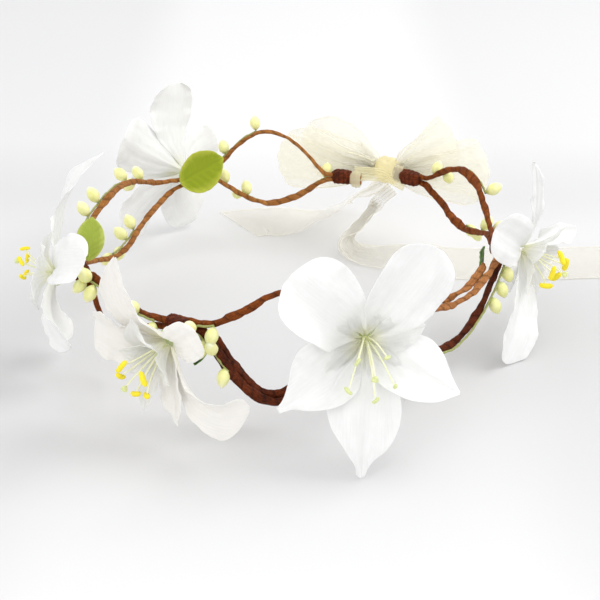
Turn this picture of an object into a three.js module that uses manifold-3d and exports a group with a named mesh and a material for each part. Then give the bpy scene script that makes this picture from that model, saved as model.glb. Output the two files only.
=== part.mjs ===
// A flower crown: an open hoop of paper-covered wire vines, lashed into a row of eyes, with five
// fabric lilies, leaves and berry sprigs, closed at the back by a sheer ribbon tied in a bow.
// Millimetres, +Z up. The origin is the centre of the hoop on the surface that the crown lies on.
// Angles are degrees about +Z from +X, and the crown's front faces -Y.
import * as THREE from "three";
import { mergeVertices } from "three/addons/utils/BufferGeometryUtils.js";
import Module from "manifold-3d";

const wasm = await Module();
wasm.setup();

// ---- Driving dimensions ----
const HOOP_RADIUS = 92; // to the vines' centrelines, for a head about 56 cm round
const HOOP_HEIGHT = 40; // of the hoop's middle over the surface
const VINE_RADIUS = 1.4;
const GAP = 0.3; // between pieces that touch
const LAY = VINE_RADIUS + GAP / 2; // a vine's centre from the middle of a lashing
const LASHING_LENGTH = 10;
const LASHING_WALL = 0.8;
const LASHING_INNER = 2 * VINE_RADIUS + 1.5 * GAP; // half width of the hole through a lashing
const LASHING_OUTER = LASHING_INNER + LASHING_WALL;
const RIBBON_WIDTH = 38;
const RIBBON_THICK = 0.8;
const PETAL_THICK = 0.7;

// Where the vines are lashed together, going round the hoop. The hoop's two ends run on as stubs.
const LASHINGS = {
  right: { angle: -4, lift: 2 },
  front: { angle: -72, lift: 2 },
  front_left: { angle: -117, lift: 1 },
  left: { angle: -160, lift: 1 },
  back_left: { angle: -241, lift: 0 },
  left_end: { angle: -287, lift: -2, stub: 10 },
  right_end: { angle: 50, lift: 4, stub: 10 },
};

// Each eye's upper and lower vine: how far it rises or drops, how far it leans out, and where along
// the eye it is furthest away. A doubled vine has a second one beside it.
const EYES = [
  {
    name: "right_front",
    from: "right",
    to: "front",
    upper: { away: -7, lean: -4, peak: 0.4, doubled: true },
    lower: { away: -25, lean: -7, peak: 0.5 },
  },
  {
    name: "front",
    from: "front",
    to: "front_left",
    upper: { away: 16, lean: -2, peak: 0.35 },
    lower: { away: -27, lean: 2, peak: 0.46, doubled: true },
  },
  {
    name: "left_front",
    from: "front_left",
    to: "left",
    upper: { away: -2, lean: -4, peak: 0.6 },
    lower: { away: -26, lean: -3, peak: 0.6 },
  },
  {
    name: "left_back",
    from: "left",
    to: "back_left",
    upper: { away: 16, lean: -14, peak: 0.42 },
    lower: { away: -13, lean: -13, peak: 0.45 },
  },
  {
    name: "back",
    from: "back_left",
    to: "left_end",
    upper: { away: 20, lean: 0, peak: 0.5 },
    lower: { away: -15, lean: 0, peak: 0.5 },
  },
  {
    name: "right_back",
    from: "right_end",
    to: "right",
    upper: { away: 12, lean: 1, peak: 0.4 },
    lower: { away: -10, lean: -2, peak: 0.4 },
  },
];

// The way each lily faces, how long its stamens are, how its inner petals open and how long they
// are, how far its outer petals open along their length, and each outer petal's turn about that way,
// from the flower's own right, its length and its width. A petal that opens differently says so. A
// shift, in degrees, puts a stem that far along the hoop from the middle of its lashing.
const FLOWERS = [
  {
    name: "front",
    face: -87,
    up: 14,
    spray: 19,
    inner: [28, [24, 40, 66]],
    open: [42, 66, 84],
    petals: [[57, 49, 30], [139, 44, 33], [214, 43, 27], [266, 50, 27], [328, 41, 27]],
  },
  {
    name: "front_left",
    face: -128,
    up: -20,
    shift: 2,
    spray: 16,
    inner: [25, [24, 40, 60]],
    open: [46, 70, 92],
    petals: [
      [100, 48, 16, [58, 88, 88]],
      [160, 29, 28],
      [298, 31, 15, [42, 50, 62]],
      [330, 45, 18, [54, 76, 100]],
      [34, 26, 18, [54, 84, 100]],
    ],
  },
  {
    name: "left",
    face: 178,
    up: 12,
    shift: 2,
    spray: 10,
    inner: [18, [50, 80, 104]],
    open: [78, 104, 122],
    petals: [
      [100, 53, 15, [80, 96, 126]],
      [40, 34, 22, [86, 112, 134]],
      [325, 34, 22, [86, 112, 134]],
      [262, 30, 21],
      [165, 34, 22, [76, 90, 96]],
    ],
  },
  {
    name: "back_left",
    face: 140,
    up: 2,
    spray: 17,
    inner: [27, [24, 40, 66]],
    open: [50, 72, 88],
    petals: [[102, 43, 27], [38, 38, 26], [-44, 42, 23], [-120, 42, 27], [176, 36, 24]],
  },
  {
    name: "right",
    face: -30,
    up: -18,
    shift: 2,
    spray: 15,
    inner: [20, [40, 54, 66]],
    open: [78, 106, 124],
    petals: [
      [98, 45, 13, [84, 108, 98]],
      [147, 29, 22, [74, 106, 136]],
      [222, 50, 21, [50, 66, 78]],
      [300, 28, 20],
      [10, 27, 21, [60, 80, 94]],
    ],
  },
];
const PIVOT_OUT = LASHING_OUTER + 1.4; // the wire stem bends here, just outside the lashing
const STEM_LENGTH = 5; // from there to the middle of the petals' hub
const INNER_PETALS = 5;

// ---- Solids from geometries, and back ----
function solidOf(geometry) {
  const bare = geometry.clone();
  bare.deleteAttribute("normal");
  bare.deleteAttribute("uv");
  const merged = mergeVertices(bare, 1e-4);
  return new wasm.Manifold(
    new wasm.Mesh({
      numProp: 3,
      vertProperties: merged.attributes.position.array,
      triVerts: new Uint32Array(merged.index.array),
    }),
  );
}

function geometryOf(solid) {
  const { vertProperties, triVerts, numProp } = solid.getMesh();
  const points = new Float32Array((vertProperties.length / numProp) * 3);
  for (let i = 0; i < points.length / 3; i++)
    points.set(vertProperties.subarray(i * numProp, i * numProp + 3), i * 3);
  return new THREE.BufferGeometry()
    .setAttribute("position", new THREE.BufferAttribute(points, 3))
    .setIndex(new THREE.BufferAttribute(new Uint32Array(triVerts), 1));
}

// Where petals cross at their roots, edges shorter than this are merged away.
const TOLERANCE = 0.12;

function joined(geometries) {
  const solid = geometries.map(solidOf).reduce((all, next) => all.add(next));
  return geometryOf(solid.setTolerance(TOLERANCE));
}

// ---- Shapes ----
const radians = THREE.MathUtils.degToRad;

function around(angle, radius, z) {
  return new THREE.Vector3(
    radius * Math.cos(radians(angle)),
    radius * Math.sin(radians(angle)),
    z,
  );
}

// A sheet: a thin box whose grid is bent by place(across, along), both from 0 to 1.
function sheet(place, thick, acrossSteps, alongSteps) {
  const box = new THREE.BoxGeometry(1, 1, 1, acrossSteps, alongSteps, 1);
  const position = box.getAttribute("position");
  const step = 0.01;
  for (let i = 0; i < position.count; i++) {
    const across = position.getX(i) + 0.5;
    const along = position.getY(i) + 0.5;
    const side = position.getZ(i);
    const a = THREE.MathUtils.clamp(across, step, 1 - step);
    const l = THREE.MathUtils.clamp(along, step, 1 - step);
    const dAcross = place(a + step, l).sub(place(a - step, l));
    const dAlong = place(a, l + step).sub(place(a, l - step));
    const normal = dAcross.cross(dAlong).normalize();
    const point = place(across, along).addScaledVector(normal, side * thick);
    position.setXYZ(i, point.x, point.y, point.z);
  }
  return box;
}

// A round rod along points.
function rod(points, radius, sides, steps) {
  const shape = new THREE.Shape();
  for (let i = 0; i < sides; i++) {
    const turn = (2 * Math.PI * i) / sides;
    const [x, y] = [radius * Math.cos(turn), radius * Math.sin(turn)];
    if (i === 0) shape.moveTo(x, y);
    else shape.lineTo(x, y);
  }
  shape.closePath();
  return new THREE.ExtrudeGeometry(shape, {
    steps,
    bevelEnabled: false,
    extrudePath: new THREE.CatmullRomCurve3(points),
  });
}

// A thin stalk that starts at foot and carries a rounded tip, such as a berry or an anther.
const STALK_RADIUS = 0.45;

function stalked(foot, way, length, tip) {
  const profile = [
    [0, 0],
    [STALK_RADIUS, 0],
    [STALK_RADIUS, length - 0.45 * tip.length],
    [tip.radius, length - 0.15 * tip.length],
    [0.8 * tip.radius, length + 0.25 * tip.length],
    [0, length + tip.length / 2],
  ].map(([x, y]) => new THREE.Vector2(x, y));
  const up = new THREE.Vector3(0, 1, 0);
  const turn = new THREE.Quaternion().setFromUnitVectors(up, way.clone().normalize());
  return new THREE.LatheGeometry(profile, 5)
    .applyQuaternion(turn)
    .translate(foot.x, foot.y, foot.z);
}

// ---- The vines ----
const HOLD = 8; // how far a vine runs level on either side of a lashing's middle
const OVERRUN = 4.2; // how far its end reaches past that middle

// A length along the hoop as a share of an eye's own length.
function shareOf(eye, length) {
  const turn = radians(Math.abs(LASHINGS[eye.to].angle - LASHINGS[eye.from].angle));
  return length / (HOOP_RADIUS * turn);
}

// 0 at both ends and 1 at the peak, with level ends.
function bumpAt(share, peak) {
  const [s, p] = peak < 0.5 ? [1 - share, 1 - peak] : [share, peak];
  return Math.sin(Math.PI * s ** (Math.log(0.5) / Math.log(p))) ** 1.25;
}

// A vine's place at share t of its eye. Beyond 0 and 1 it runs on through the lashings.
function vinePoint(eye, side, t, aside = 0) {
  const start = LASHINGS[eye.from];
  const end = LASHINGS[eye.to];
  const vine = eye[side];
  const angle = THREE.MathUtils.lerp(start.angle, end.angle, t);
  const flat = shareOf(eye, HOLD);
  const share = THREE.MathUtils.clamp((t - flat) / (1 - 2 * flat), 0, 1);
  const bump = bumpAt(share, vine.peak);
  const way = side === "upper" ? 1 : -1;
  const eased = THREE.MathUtils.smoothstep(share, 0, 1);
  const lay = THREE.MathUtils.lerp(LAY, -LAY, eased);
  const lift = THREE.MathUtils.lerp(start.lift, end.lift, eased);
  return around(
    angle,
    HOOP_RADIUS + lay + vine.lean * bump + aside,
    HOOP_HEIGHT + lift + way * LAY + vine.away * bump - aside * 0.35,
  );
}

const VINE_STEPS = 13;

function vineGeometry(eye, side, from, to, aside) {
  const points = [];
  for (let i = 0; i <= VINE_STEPS; i++) {
    const t = THREE.MathUtils.lerp(from, to, i / VINE_STEPS);
    points.push(vinePoint(eye, side, t, aside));
  }
  return rod(points, VINE_RADIUS, 5, VINE_STEPS);
}

// A lashing: tape wound round the four vines, a square sleeve with round corners.
function lashingGeometry() {
  const outer = new THREE.Shape();
  const inner = new THREE.Path();
  for (const [path, half, corner] of [
    [outer, LASHING_OUTER, 1.8],
    [inner, LASHING_INNER, 1.0],
  ]) {
    const c = half - corner;
    path.moveTo(half, -c).lineTo(half, c).absarc(c, c, corner, 0, Math.PI / 2, false);
    path.lineTo(-c, half).absarc(-c, c, corner, Math.PI / 2, Math.PI, false);
    path.lineTo(-half, -c).absarc(-c, -c, corner, Math.PI, 1.5 * Math.PI, false);
    path.lineTo(c, -half).absarc(c, -c, corner, 1.5 * Math.PI, 2 * Math.PI, false);
  }
  outer.holes.push(inner);
  return new THREE.ExtrudeGeometry(outer, {
    depth: LASHING_LENGTH,
    bevelEnabled: false,
    curveSegments: 1,
  }).translate(0, 0, -LASHING_LENGTH / 2);
}

// ---- A lily ----
// Petals in the flower's own frame: +Z is the way it faces, and a petal's turn is about that.
function petalPlace(petal) {
  const direction = (angle) => new THREE.Vector2(Math.sin(radians(angle)), Math.cos(radians(angle)));
  const reach = petal.length / 3;
  const p0 = new THREE.Vector2(petal.root, petal.base);
  const p1 = p0.clone().addScaledVector(direction(petal.open[0]), reach);
  const p2 = p1.clone().addScaledVector(direction(petal.open[1]), reach);
  const p3 = p2.clone().addScaledVector(direction(petal.open[2]), reach);
  const midrib = new THREE.CubicBezierCurve(p0, p1, p2, p3);
  return (across, along) => {
    const point = midrib.getPoint(along);
    const tangent = midrib.getTangent(along);
    const c = 2 * across - 1;
    const half = 0.5 * petal.width * petalShape(along);
    const cup = petal.cup * half * c * c;
    const turn = radians(petal.turn) + radians(petal.sweep ?? 0) * along * along;
    const r = point.x - tangent.y * cup;
    const z = point.y + tangent.x * cup;
    const s = half * c;
    return new THREE.Vector3(
      r * Math.cos(turn) - s * Math.sin(turn),
      r * Math.sin(turn) + s * Math.cos(turn),
      z,
    );
  };
}

// A petal's width along its length, as a share of its widest.
function petalShape(along) {
  return Math.max(0.08, Math.sin(Math.PI * along ** 1.15) ** 0.85, 0.16 * (1 - along));
}

function whorlGeometry(petals, hubRadius, hubThick, steps) {
  const hub = new THREE.CylinderGeometry(hubRadius, hubRadius, hubThick, 8)
    .rotateX(Math.PI / 2)
    .translate(0, 0, petals[0].base);
  return joined([hub, ...petals.map((petal) => sheet(petalPlace(petal), PETAL_THICK, ...steps))]);
}

function outerPetals(flower) {
  const shared = { root: 3.4, base: 0, cup: 0.12 };
  return flower.petals.map(([turn, length, width, open = flower.open]) => ({
    ...shared,
    turn,
    length,
    width,
    open,
  }));
}

function innerPetals(flower) {
  const [length, open] = flower.inner;
  const shared = { root: 1.8, base: 2.2, open, cup: 0.2, length, width: 12 };
  return spokes(INNER_PETALS, flower.petals[0][0] + 36).map((turn) => ({ ...shared, turn }));
}

function spokes(count, first) {
  return Array.from({ length: count }, (_, i) => first + (360 / count) * i);
}

// Stamens round a pistil, moulded on one small disc.
const STAMENS = 5;
const SPRAY = { base: 3.7, radius: 1.5, spread: 14, pistil: 3 }; // the pistil is longer by so much

function sprayGeometry(first, length) {
  const disc = new THREE.CylinderGeometry(SPRAY.radius, SPRAY.radius, 1, 8)
    .rotateX(Math.PI / 2)
    .translate(0, 0, SPRAY.base);
  const stamens = spokes(STAMENS, first).map((turn) => {
    const way = around(turn, Math.sin(radians(SPRAY.spread)), Math.cos(radians(SPRAY.spread)));
    return stalked(around(turn, 0.8, SPRAY.base), way, length, { radius: 1.3, length: 6 });
  });
  const centre = new THREE.Vector3(0, 0, SPRAY.base);
  const ahead = new THREE.Vector3(0, 0, 1);
  const pistil = stalked(centre, ahead, length + SPRAY.pistil, { radius: 1.4, length: 3 });
  return joined([disc, ...stamens, pistil]);
}

// The moulded green cup behind the petals, with the wire stem that holds it.
function calyxGeometry() {
  const cup = new THREE.LatheGeometry(
    [
      [0, -4.2],
      [1.1, -4.2],
      [2.6, -3.4],
      [4.6, -1.2],
      [0, -1.2],
    ].map(([x, y]) => new THREE.Vector2(x, y)),
    10,
  ).rotateX(Math.PI / 2);
  const stem = rod(
    [
      new THREE.Vector3(0, 0, -STEM_LENGTH),
      new THREE.Vector3(0, 0, -4.8),
      new THREE.Vector3(0, 0, -3.8),
    ],
    0.8,
    6,
    1,
  );
  return joined([cup, stem]);
}

// ---- Leaves ----
// A leaf lies near a lashing: its middle, the way it points and its size. It is flat to the hoop's
// middle, or swung round from that about the vertical.
const LEAVES = [
  { name: "back_left", at: -241, lift: 6, point: 20, length: 25, width: 22, in: 6.2, swing: 0 },
  { name: "left", at: -160, lift: 15, point: 98, length: 20, width: 12, in: 5, swing: 75 },
  { name: "front_left", at: -113.5, lift: -9, point: -80, length: 20, width: 9, in: 6.2, swing: 0 },
  { name: "right", at: -4, lift: -7, point: 80, length: 18, width: 10, in: 6.2, swing: 0 },
];

function leafGeometry(leaf) {
  const outward = around(leaf.at + leaf.swing, 1, 0);
  const up = new THREE.Vector3(0, 0, 1);
  const right = new THREE.Vector3().crossVectors(outward, up); // as seen from the hoop's middle
  const middle = around(leaf.at, HOOP_RADIUS - leaf.in, HOOP_HEIGHT + leaf.lift);
  const turn = radians(leaf.point);
  const along = right.clone().multiplyScalar(Math.cos(turn)).addScaledVector(up, Math.sin(turn));
  const across = new THREE.Vector3().crossVectors(along, outward);
  const place = (a, l) => {
    const half = 0.5 * leaf.width * Math.max(0.08, Math.sin(Math.PI * l ** 0.9) ** 0.7);
    const c = 2 * a - 1;
    const dish = -0.1 * half * c * c;
    return middle
      .clone()
      .addScaledVector(along, leaf.length * (l - 0.5))
      .addScaledVector(across, half * c)
      .addScaledVector(outward, dish);
  };
  return sheet(place, PETAL_THICK, 2, 4);
}

// ---- Berry sprigs ----
// A thin wire beside a vine, from one share of its eye to another, with berries on short stalks.
// Each berry is [share, angle of its stalk from outward towards up]. A twig goes over to the eye's
// upper vine, from one share to another, with a berry at its end.
const SPRIGS = [
  {
    name: "left_front",
    eye: 2,
    side: "upper",
    along: [0.12, 0.89],
    berries: [[0.12, -150], [0.25, 110], [0.76, -100], [0.8, 90], [0.84, -60], [0.89, 100]],
  },
  {
    name: "left_back_upper",
    eye: 3,
    side: "upper",
    along: [0.2, 0.72],
    berries: [[0.24, 120], [0.31, 160], [0.58, 60], [0.65, -60], [0.72, 80]],
  },
  {
    name: "left_back_lower",
    eye: 3,
    side: "lower",
    along: [0.42, 0.62],
    berries: [[0.42, -70], [0.5, -150], [0.55, 60], [0.62, 110]],
  },
  {
    name: "back_upper",
    eye: 4,
    side: "upper",
    along: [0.2, 0.42],
    berries: [[0.22, 70], [0.42, 100]],
  },
  {
    name: "back_lower",
    eye: 4,
    side: "lower",
    along: [0.22, 0.9],
    berries: [[0.22, 70], [0.3, -60], [0.36, 80], [0.88, 70]],
  },
  {
    name: "right_back_upper",
    eye: 5,
    side: "upper",
    along: [0.12, 0.6],
    berries: [[0.12, 90], [0.2, -95], [0.6, 30]],
  },
  {
    name: "right_back_lower",
    eye: 5,
    side: "lower",
    along: [0.45, 0.8],
    berries: [[0.45, -80], [0.52, -100], [0.62, 85], [0.8, 100]],
  },
  {
    name: "right_front",
    eye: 0,
    side: "lower",
    along: [0.1, 0.74],
    berries: [[0.1, -150], [0.16, -150], [0.22, -160], [0.64, -90], [0.7, -70]],
  },
  {
    name: "front",
    eye: 1,
    side: "lower",
    along: [0.7, 0.9],
    berries: [[0.72, -100], [0.78, 80], [0.84, -60], [0.9, 90]],
    twig: [0.9, 0.78],
  },
];
const BERRY = { radius: 2.5, length: 7.2, stalk: 4.4 };
const SPRIG_ASIDE = VINE_RADIUS + 1.1; // the wire's centre from the vine's

function sprigGeometry(sprig) {
  const eye = EYES[sprig.eye];
  const wirePoint = (t, side = sprig.side) => {
    const p = vinePoint(eye, side, t);
    const outward = new THREE.Vector3(p.x, p.y, 0).normalize();
    return p.addScaledVector(outward, SPRIG_ASIDE);
  };
  const [from, to] = sprig.along;
  const steps = 4 + Math.round(20 * (to - from));
  const wire = [];
  for (let i = 0; i <= steps; i++) wire.push(wirePoint(THREE.MathUtils.lerp(from, to, i / steps)));
  const pieces = [rod(wire, 0.5, 4, steps)];
  const berries = sprig.berries.map(([t, angle]) => [wirePoint(t), angle]);
  if (sprig.twig) {
    const [near, far] = sprig.twig;
    const turns = [0.2, 0.6, 1].map((l) => wirePoint(THREE.MathUtils.lerp(near, far, l), "upper"));
    pieces.push(rod([wirePoint(near), ...turns], 0.5, 4, 6));
    berries.push([turns[2], -90]);
  }
  for (const [foot, angle] of berries) {
    const outward = new THREE.Vector3(foot.x, foot.y, 0).normalize();
    const way = outward
      .multiplyScalar(Math.cos(radians(angle)) * 0.6 + 0.75)
      .addScaledVector(new THREE.Vector3(0, 0, 1), Math.sin(radians(angle)))
      .normalize();
    pieces.push(stalked(foot, way, BERRY.stalk, BERRY));
  }
  return joined(pieces);
}

// ---- The ribbon ----
// A band along a path, given the way its width lies and its width at each share of its length. It
// lies on the surface where the path would dip below.
const FLOOR = RIBBON_THICK / 2;

function bandGeometry(path, widthWay, width, steps, across = 2) {
  const curve = new THREE.CatmullRomCurve3(path);
  const place = (a, l) => {
    const point = curve.getPoint(l).addScaledVector(widthWay(l), (a - 0.5) * width(l));
    return point.setZ(Math.max(point.z, FLOOR));
  };
  return sheet(place, RIBBON_THICK, across, steps);
}

const BOW_ANGLE = 61;
const KNOT_OUT = 10; // from the hoop's line to the knot
const bowOut = around(BOW_ANGLE, 1, 0);
const bowLeft = around(BOW_ANGLE + 90, 1, 0);
const UP = new THREE.Vector3(0, 0, 1);
const KNOT = around(BOW_ANGLE, HOOP_RADIUS + KNOT_OUT, HOOP_HEIGHT + 1);
const KNOT_HALF = { out: 4, aside: 6, up: 6.5 };

// A place near the bow: left of the knot, out from the hoop, and above the knot.
function byKnot(left, out, above) {
  return KNOT.clone()
    .addScaledVector(bowLeft, left)
    .addScaledVector(bowOut, out)
    .addScaledVector(UP, above);
}

// A bow loop: out from the knot, round its far end and back, narrow where the knot gathers it.
function bowLoop(side, reach, rise, depth, lean, width) {
  const near = side * (KNOT_HALF.aside + GAP + 0.4);
  const path = [
    byKnot(near, -1.2, 0.5),
    byKnot(side * reach * 0.45, 2.5 - depth * 0.3, rise * 0.5),
    byKnot(side * reach * 0.85, 6 - depth * 0.3, rise * 0.95),
    byKnot(side * reach, 9, rise),
    byKnot(side * reach * 0.85, 8 + depth * 0.6, rise * 0.9),
    byKnot(side * reach * 0.45, 3 + depth * 0.6, rise * 0.4),
    byKnot(near, 1.2, -0.5),
  ];
  const way = UP.clone().addScaledVector(bowLeft, lean).normalize();
  const taper = (l) => THREE.MathUtils.lerp(8, width, Math.sin(Math.PI * l) ** 0.7);
  return bandGeometry(path, () => way, taper, 10);
}

// A tail: its width stands up near the knot, and lies level on the surface.
function tail(path, [levelFrom, levelAt], [wideFrom, wideAt], steps) {
  const widthWay = (l) => {
    const level = THREE.MathUtils.smoothstep(l, levelFrom, levelAt);
    return UP.clone().lerp(bowOut, level).normalize();
  };
  const taper = (l) =>
    THREE.MathUtils.lerp(7, RIBBON_WIDTH, THREE.MathUtils.smoothstep(l, wideFrom, wideAt));
  return bandGeometry(path, widthWay, taper, steps);
}

// The tie: a ring of ribbon round the vines' stubs at each end of the hoop, and the strap between.
const TIE_RING = { at: 7.6, half: 2, inner: [VINE_RADIUS + GAP, LAY + VINE_RADIUS + GAP] };

function tieRing(name, way) {
  const place = LASHINGS[name];
  const outline = (grow) =>
    [[1, -1], [1, 1], [-1, 1], [-1, -1]].map(
      ([x, y]) => new THREE.Vector2(x * (TIE_RING.inner[0] + grow), y * (TIE_RING.inner[1] + grow)),
    );
  const shape = new THREE.Shape(outline(RIBBON_THICK));
  shape.holes.push(new THREE.Path(outline(0)));
  const angle = place.angle + way * THREE.MathUtils.radToDeg(TIE_RING.at / HOOP_RADIUS);
  const outward = around(angle, 1, 0);
  const tangent = new THREE.Vector3().crossVectors(outward, UP);
  const middle = around(angle, HOOP_RADIUS + way * LAY, HOOP_HEIGHT + place.lift);
  return new THREE.ExtrudeGeometry(shape, { depth: 2 * TIE_RING.half, bevelEnabled: false })
    .translate(0, 0, -TIE_RING.half)
    .applyMatrix4(new THREE.Matrix4().makeBasis(outward, UP, tangent).setPosition(middle));
}

function tieGeometry() {
  const ringOut = TIE_RING.inner[0] + RIBBON_THICK / 2;
  const strap = [
    around(LASHINGS.right_end.angle + 3.6, HOOP_RADIUS + LAY + ringOut, HOOP_HEIGHT - 2),
    around(LASHINGS.right_end.angle + 6, HOOP_RADIUS + LAY + ringOut, HOOP_HEIGHT - 1.5),
    around(BOW_ANGLE, HOOP_RADIUS + KNOT_OUT - KNOT_HALF.out - 1.4, HOOP_HEIGHT),
    around(LASHINGS.left_end.angle + 360 - 6, HOOP_RADIUS - LAY + ringOut, HOOP_HEIGHT + 0.8),
    around(LASHINGS.left_end.angle + 360 - 3.6, HOOP_RADIUS - LAY + ringOut, HOOP_HEIGHT + 1),
  ];
  return joined([
    tieRing("right_end", 1),
    tieRing("left_end", -1),
    bandGeometry(strap, () => UP, () => 5, 8, 1),
  ]);
}

// ---- The assembly ----
const crown = new THREE.Group();

const MATERIALS = {
  vine: new THREE.MeshStandardMaterial({ color: "#7a3f1d", roughness: 0.75, metalness: 0 }),
  tape: new THREE.MeshStandardMaterial({ color: "#4b2a17", roughness: 0.7, metalness: 0 }),
  petal: new THREE.MeshStandardMaterial({ color: "#fbfbf7", roughness: 0.6, metalness: 0 }),
  stamen: new THREE.MeshStandardMaterial({ color: "#f2e23a", roughness: 0.5, metalness: 0 }),
  calyx: new THREE.MeshStandardMaterial({ color: "#b8cc70", roughness: 0.5, metalness: 0 }),
  leaf: new THREE.MeshStandardMaterial({ color: "#7f9c2c", roughness: 0.55, metalness: 0 }),
  berry: new THREE.MeshStandardMaterial({ color: "#eef0a0", roughness: 0.45, metalness: 0 }),
  ribbon: new THREE.MeshStandardMaterial({ color: "#f6ecd0", roughness: 0.5, metalness: 0 }),
};

function addPiece(name, geometry, material, parent = crown) {
  const mesh = new THREE.Mesh(geometry, MATERIALS[material]);
  mesh.name = name;
  parent.add(mesh);
  return mesh;
}

for (const eye of EYES) {
  const before = -shareOf(eye, LASHINGS[eye.from].stub ?? OVERRUN);
  const after = 1 + shareOf(eye, LASHINGS[eye.to].stub ?? OVERRUN);
  for (const side of ["upper", "lower"]) {
    addPiece(`vine_${eye.name}_${side}`, vineGeometry(eye, side, before, after, 0), "vine");
    if (eye[side].doubled)
      addPiece(
        `vine_${eye.name}_${side}_double`,
        vineGeometry(eye, side, 0.2, 0.84, -2 * VINE_RADIUS - 2 * GAP),
        "vine",
      );
  }
}

for (const [name, place] of Object.entries(LASHINGS)) {
  const lashing = addPiece(`lashing_${name}`, lashingGeometry(), "tape");
  const middle = around(place.angle, HOOP_RADIUS, HOOP_HEIGHT + place.lift);
  const outward = around(place.angle, 1, 0);
  const tangent = new THREE.Vector3().crossVectors(outward, UP);
  lashing.applyMatrix4(new THREE.Matrix4().makeBasis(outward, UP, tangent));
  lashing.position.copy(middle);
}

for (const flower of FLOWERS) {
  const group = new THREE.Group();
  const place = LASHINGS[flower.name];
  const at = place.angle + (flower.shift ?? 0);
  const pivot = around(at, HOOP_RADIUS + PIVOT_OUT, HOOP_HEIGHT + place.lift);
  const face = around(flower.face, Math.cos(radians(flower.up)), Math.sin(radians(flower.up)));
  const up = UP.clone().addScaledVector(face, -UP.dot(face)).normalize();
  const right = new THREE.Vector3().crossVectors(up, face);
  group.applyMatrix4(new THREE.Matrix4().makeBasis(right, up, face));
  group.position.copy(pivot).addScaledVector(face, STEM_LENGTH);
  crown.add(group);
  const part = (name) => `${flower.name}_lily_${name}`;
  addPiece(part("outer_petals"), whorlGeometry(outerPetals(flower), 5, 1.6, [2, 4]), "petal", group);
  addPiece(part("inner_petals"), whorlGeometry(innerPetals(flower), 3, 1, [1, 3]), "petal", group);
  addPiece(part("stamens"), sprayGeometry(flower.petals[0][0], flower.spray), "stamen", group);
  addPiece(part("calyx"), calyxGeometry(), "calyx", group);
}

for (const leaf of LEAVES) addPiece(`leaf_${leaf.name}`, leafGeometry(leaf), "leaf");

for (const sprig of SPRIGS) addPiece(`berries_${sprig.name}`, sprigGeometry(sprig), "berry");

// The ribbon ties the hoop's ends together behind the head.
addPiece("ribbon_tie", tieGeometry(), "ribbon");
addPiece(
  "bow_knot",
  new THREE.SphereGeometry(1, 10, 6)
    .scale(KNOT_HALF.out, KNOT_HALF.aside, KNOT_HALF.up)
    .applyMatrix4(new THREE.Matrix4().makeBasis(bowOut, bowLeft, UP).setPosition(KNOT)),
  "ribbon",
);
addPiece(
  "bow_loops_left",
  joined([bowLoop(1, 52, 8, 18, 0.1, 24), bowLoop(1, 68, -4, 12, -0.1, 25)]),
  "ribbon",
);
addPiece(
  "bow_loops_right",
  joined([bowLoop(-1, 31, 16, 18, 0.3, 25), bowLoop(-1, 50, 3, 14, 0, 27)]),
  "ribbon",
);
addPiece(
  "ribbon_tail_left",
  tail(
    [
      byKnot(4, 7.6, -5),
      byKnot(12, 16, -12),
      byKnot(27, 22, -26),
      around(84, 118, 3),
      around(91, 120, FLOOR),
      around(97, 121, FLOOR),
      around(103, 120, FLOOR),
    ],
    [0.02, 0.28],
    [0, 0.45],
    12,
  ),
  "ribbon",
);
addPiece(
  "ribbon_tail_right",
  tail(
    [
      byKnot(-3, 0, -9.8),
      new THREE.Vector3(45, 88, 25),
      new THREE.Vector3(38, 86, 16),
      new THREE.Vector3(30, 82, 7),
      new THREE.Vector3(35, 76, 1),
      new THREE.Vector3(54, 73, FLOOR),
      new THREE.Vector3(84, 67, FLOOR),
      new THREE.Vector3(115, 66, FLOOR),
      new THREE.Vector3(172, 70, FLOOR),
    ],
    [0.02, 0.12],
    [0.1, 0.42],
    18,
  ),
  "ribbon",
);

export default crown;
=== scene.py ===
"""The looks of a flower crown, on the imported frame: paper-covered vines, cloth lilies, leaves, berry sprigs and an
organza bow. Lengths in the tables below are millimetres, as in the part's own source, and MM turns them to metres."""

import math

import bpy
import numpy as np
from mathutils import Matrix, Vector


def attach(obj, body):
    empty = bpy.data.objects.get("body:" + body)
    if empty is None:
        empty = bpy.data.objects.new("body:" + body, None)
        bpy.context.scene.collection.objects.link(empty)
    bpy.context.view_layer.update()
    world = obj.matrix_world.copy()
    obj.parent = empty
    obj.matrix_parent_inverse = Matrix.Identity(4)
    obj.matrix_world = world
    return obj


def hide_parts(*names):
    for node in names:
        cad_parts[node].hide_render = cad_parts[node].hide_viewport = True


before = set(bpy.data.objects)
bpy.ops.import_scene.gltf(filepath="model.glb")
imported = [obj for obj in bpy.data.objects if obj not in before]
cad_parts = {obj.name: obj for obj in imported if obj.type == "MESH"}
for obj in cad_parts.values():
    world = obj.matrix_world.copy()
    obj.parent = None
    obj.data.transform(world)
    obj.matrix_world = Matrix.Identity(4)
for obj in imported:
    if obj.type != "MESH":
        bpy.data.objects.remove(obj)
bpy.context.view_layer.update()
MM = 0.001
UP = np.array((0, 0, 1.0))
UV_CELL = 10  # to one step of a map coordinate
TABLE_CLEAR = 0.8  # the lowest that a petal's middle surface goes, so that its underside clears the table
TAIL_CLEAR = 0.25  # the same for the ribbon's tails, which lie on the table
PETAL_CLOTH = 0.32  # thicknesses of the thin pieces
LEAF_CLOTH = 0.35
RIBBON_CLOTH = 0.14
STRAP_CLOTH = 0.3

# ---- The part's driving dimensions, repeated ----
HOOP_RADIUS = 92
HOOP_HEIGHT = 40
VINE_RADIUS = 1.4
GAP = 0.3
LAY = VINE_RADIUS + GAP / 2
LASHING_OUTER = 2 * VINE_RADIUS + 1.5 * GAP + 0.8
HOLD = 8
OVERRUN = 4.2
RIBBON_WIDTH = 38
PIVOT_OUT = LASHING_OUTER + 1.4
STEM_LENGTH = 5

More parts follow.
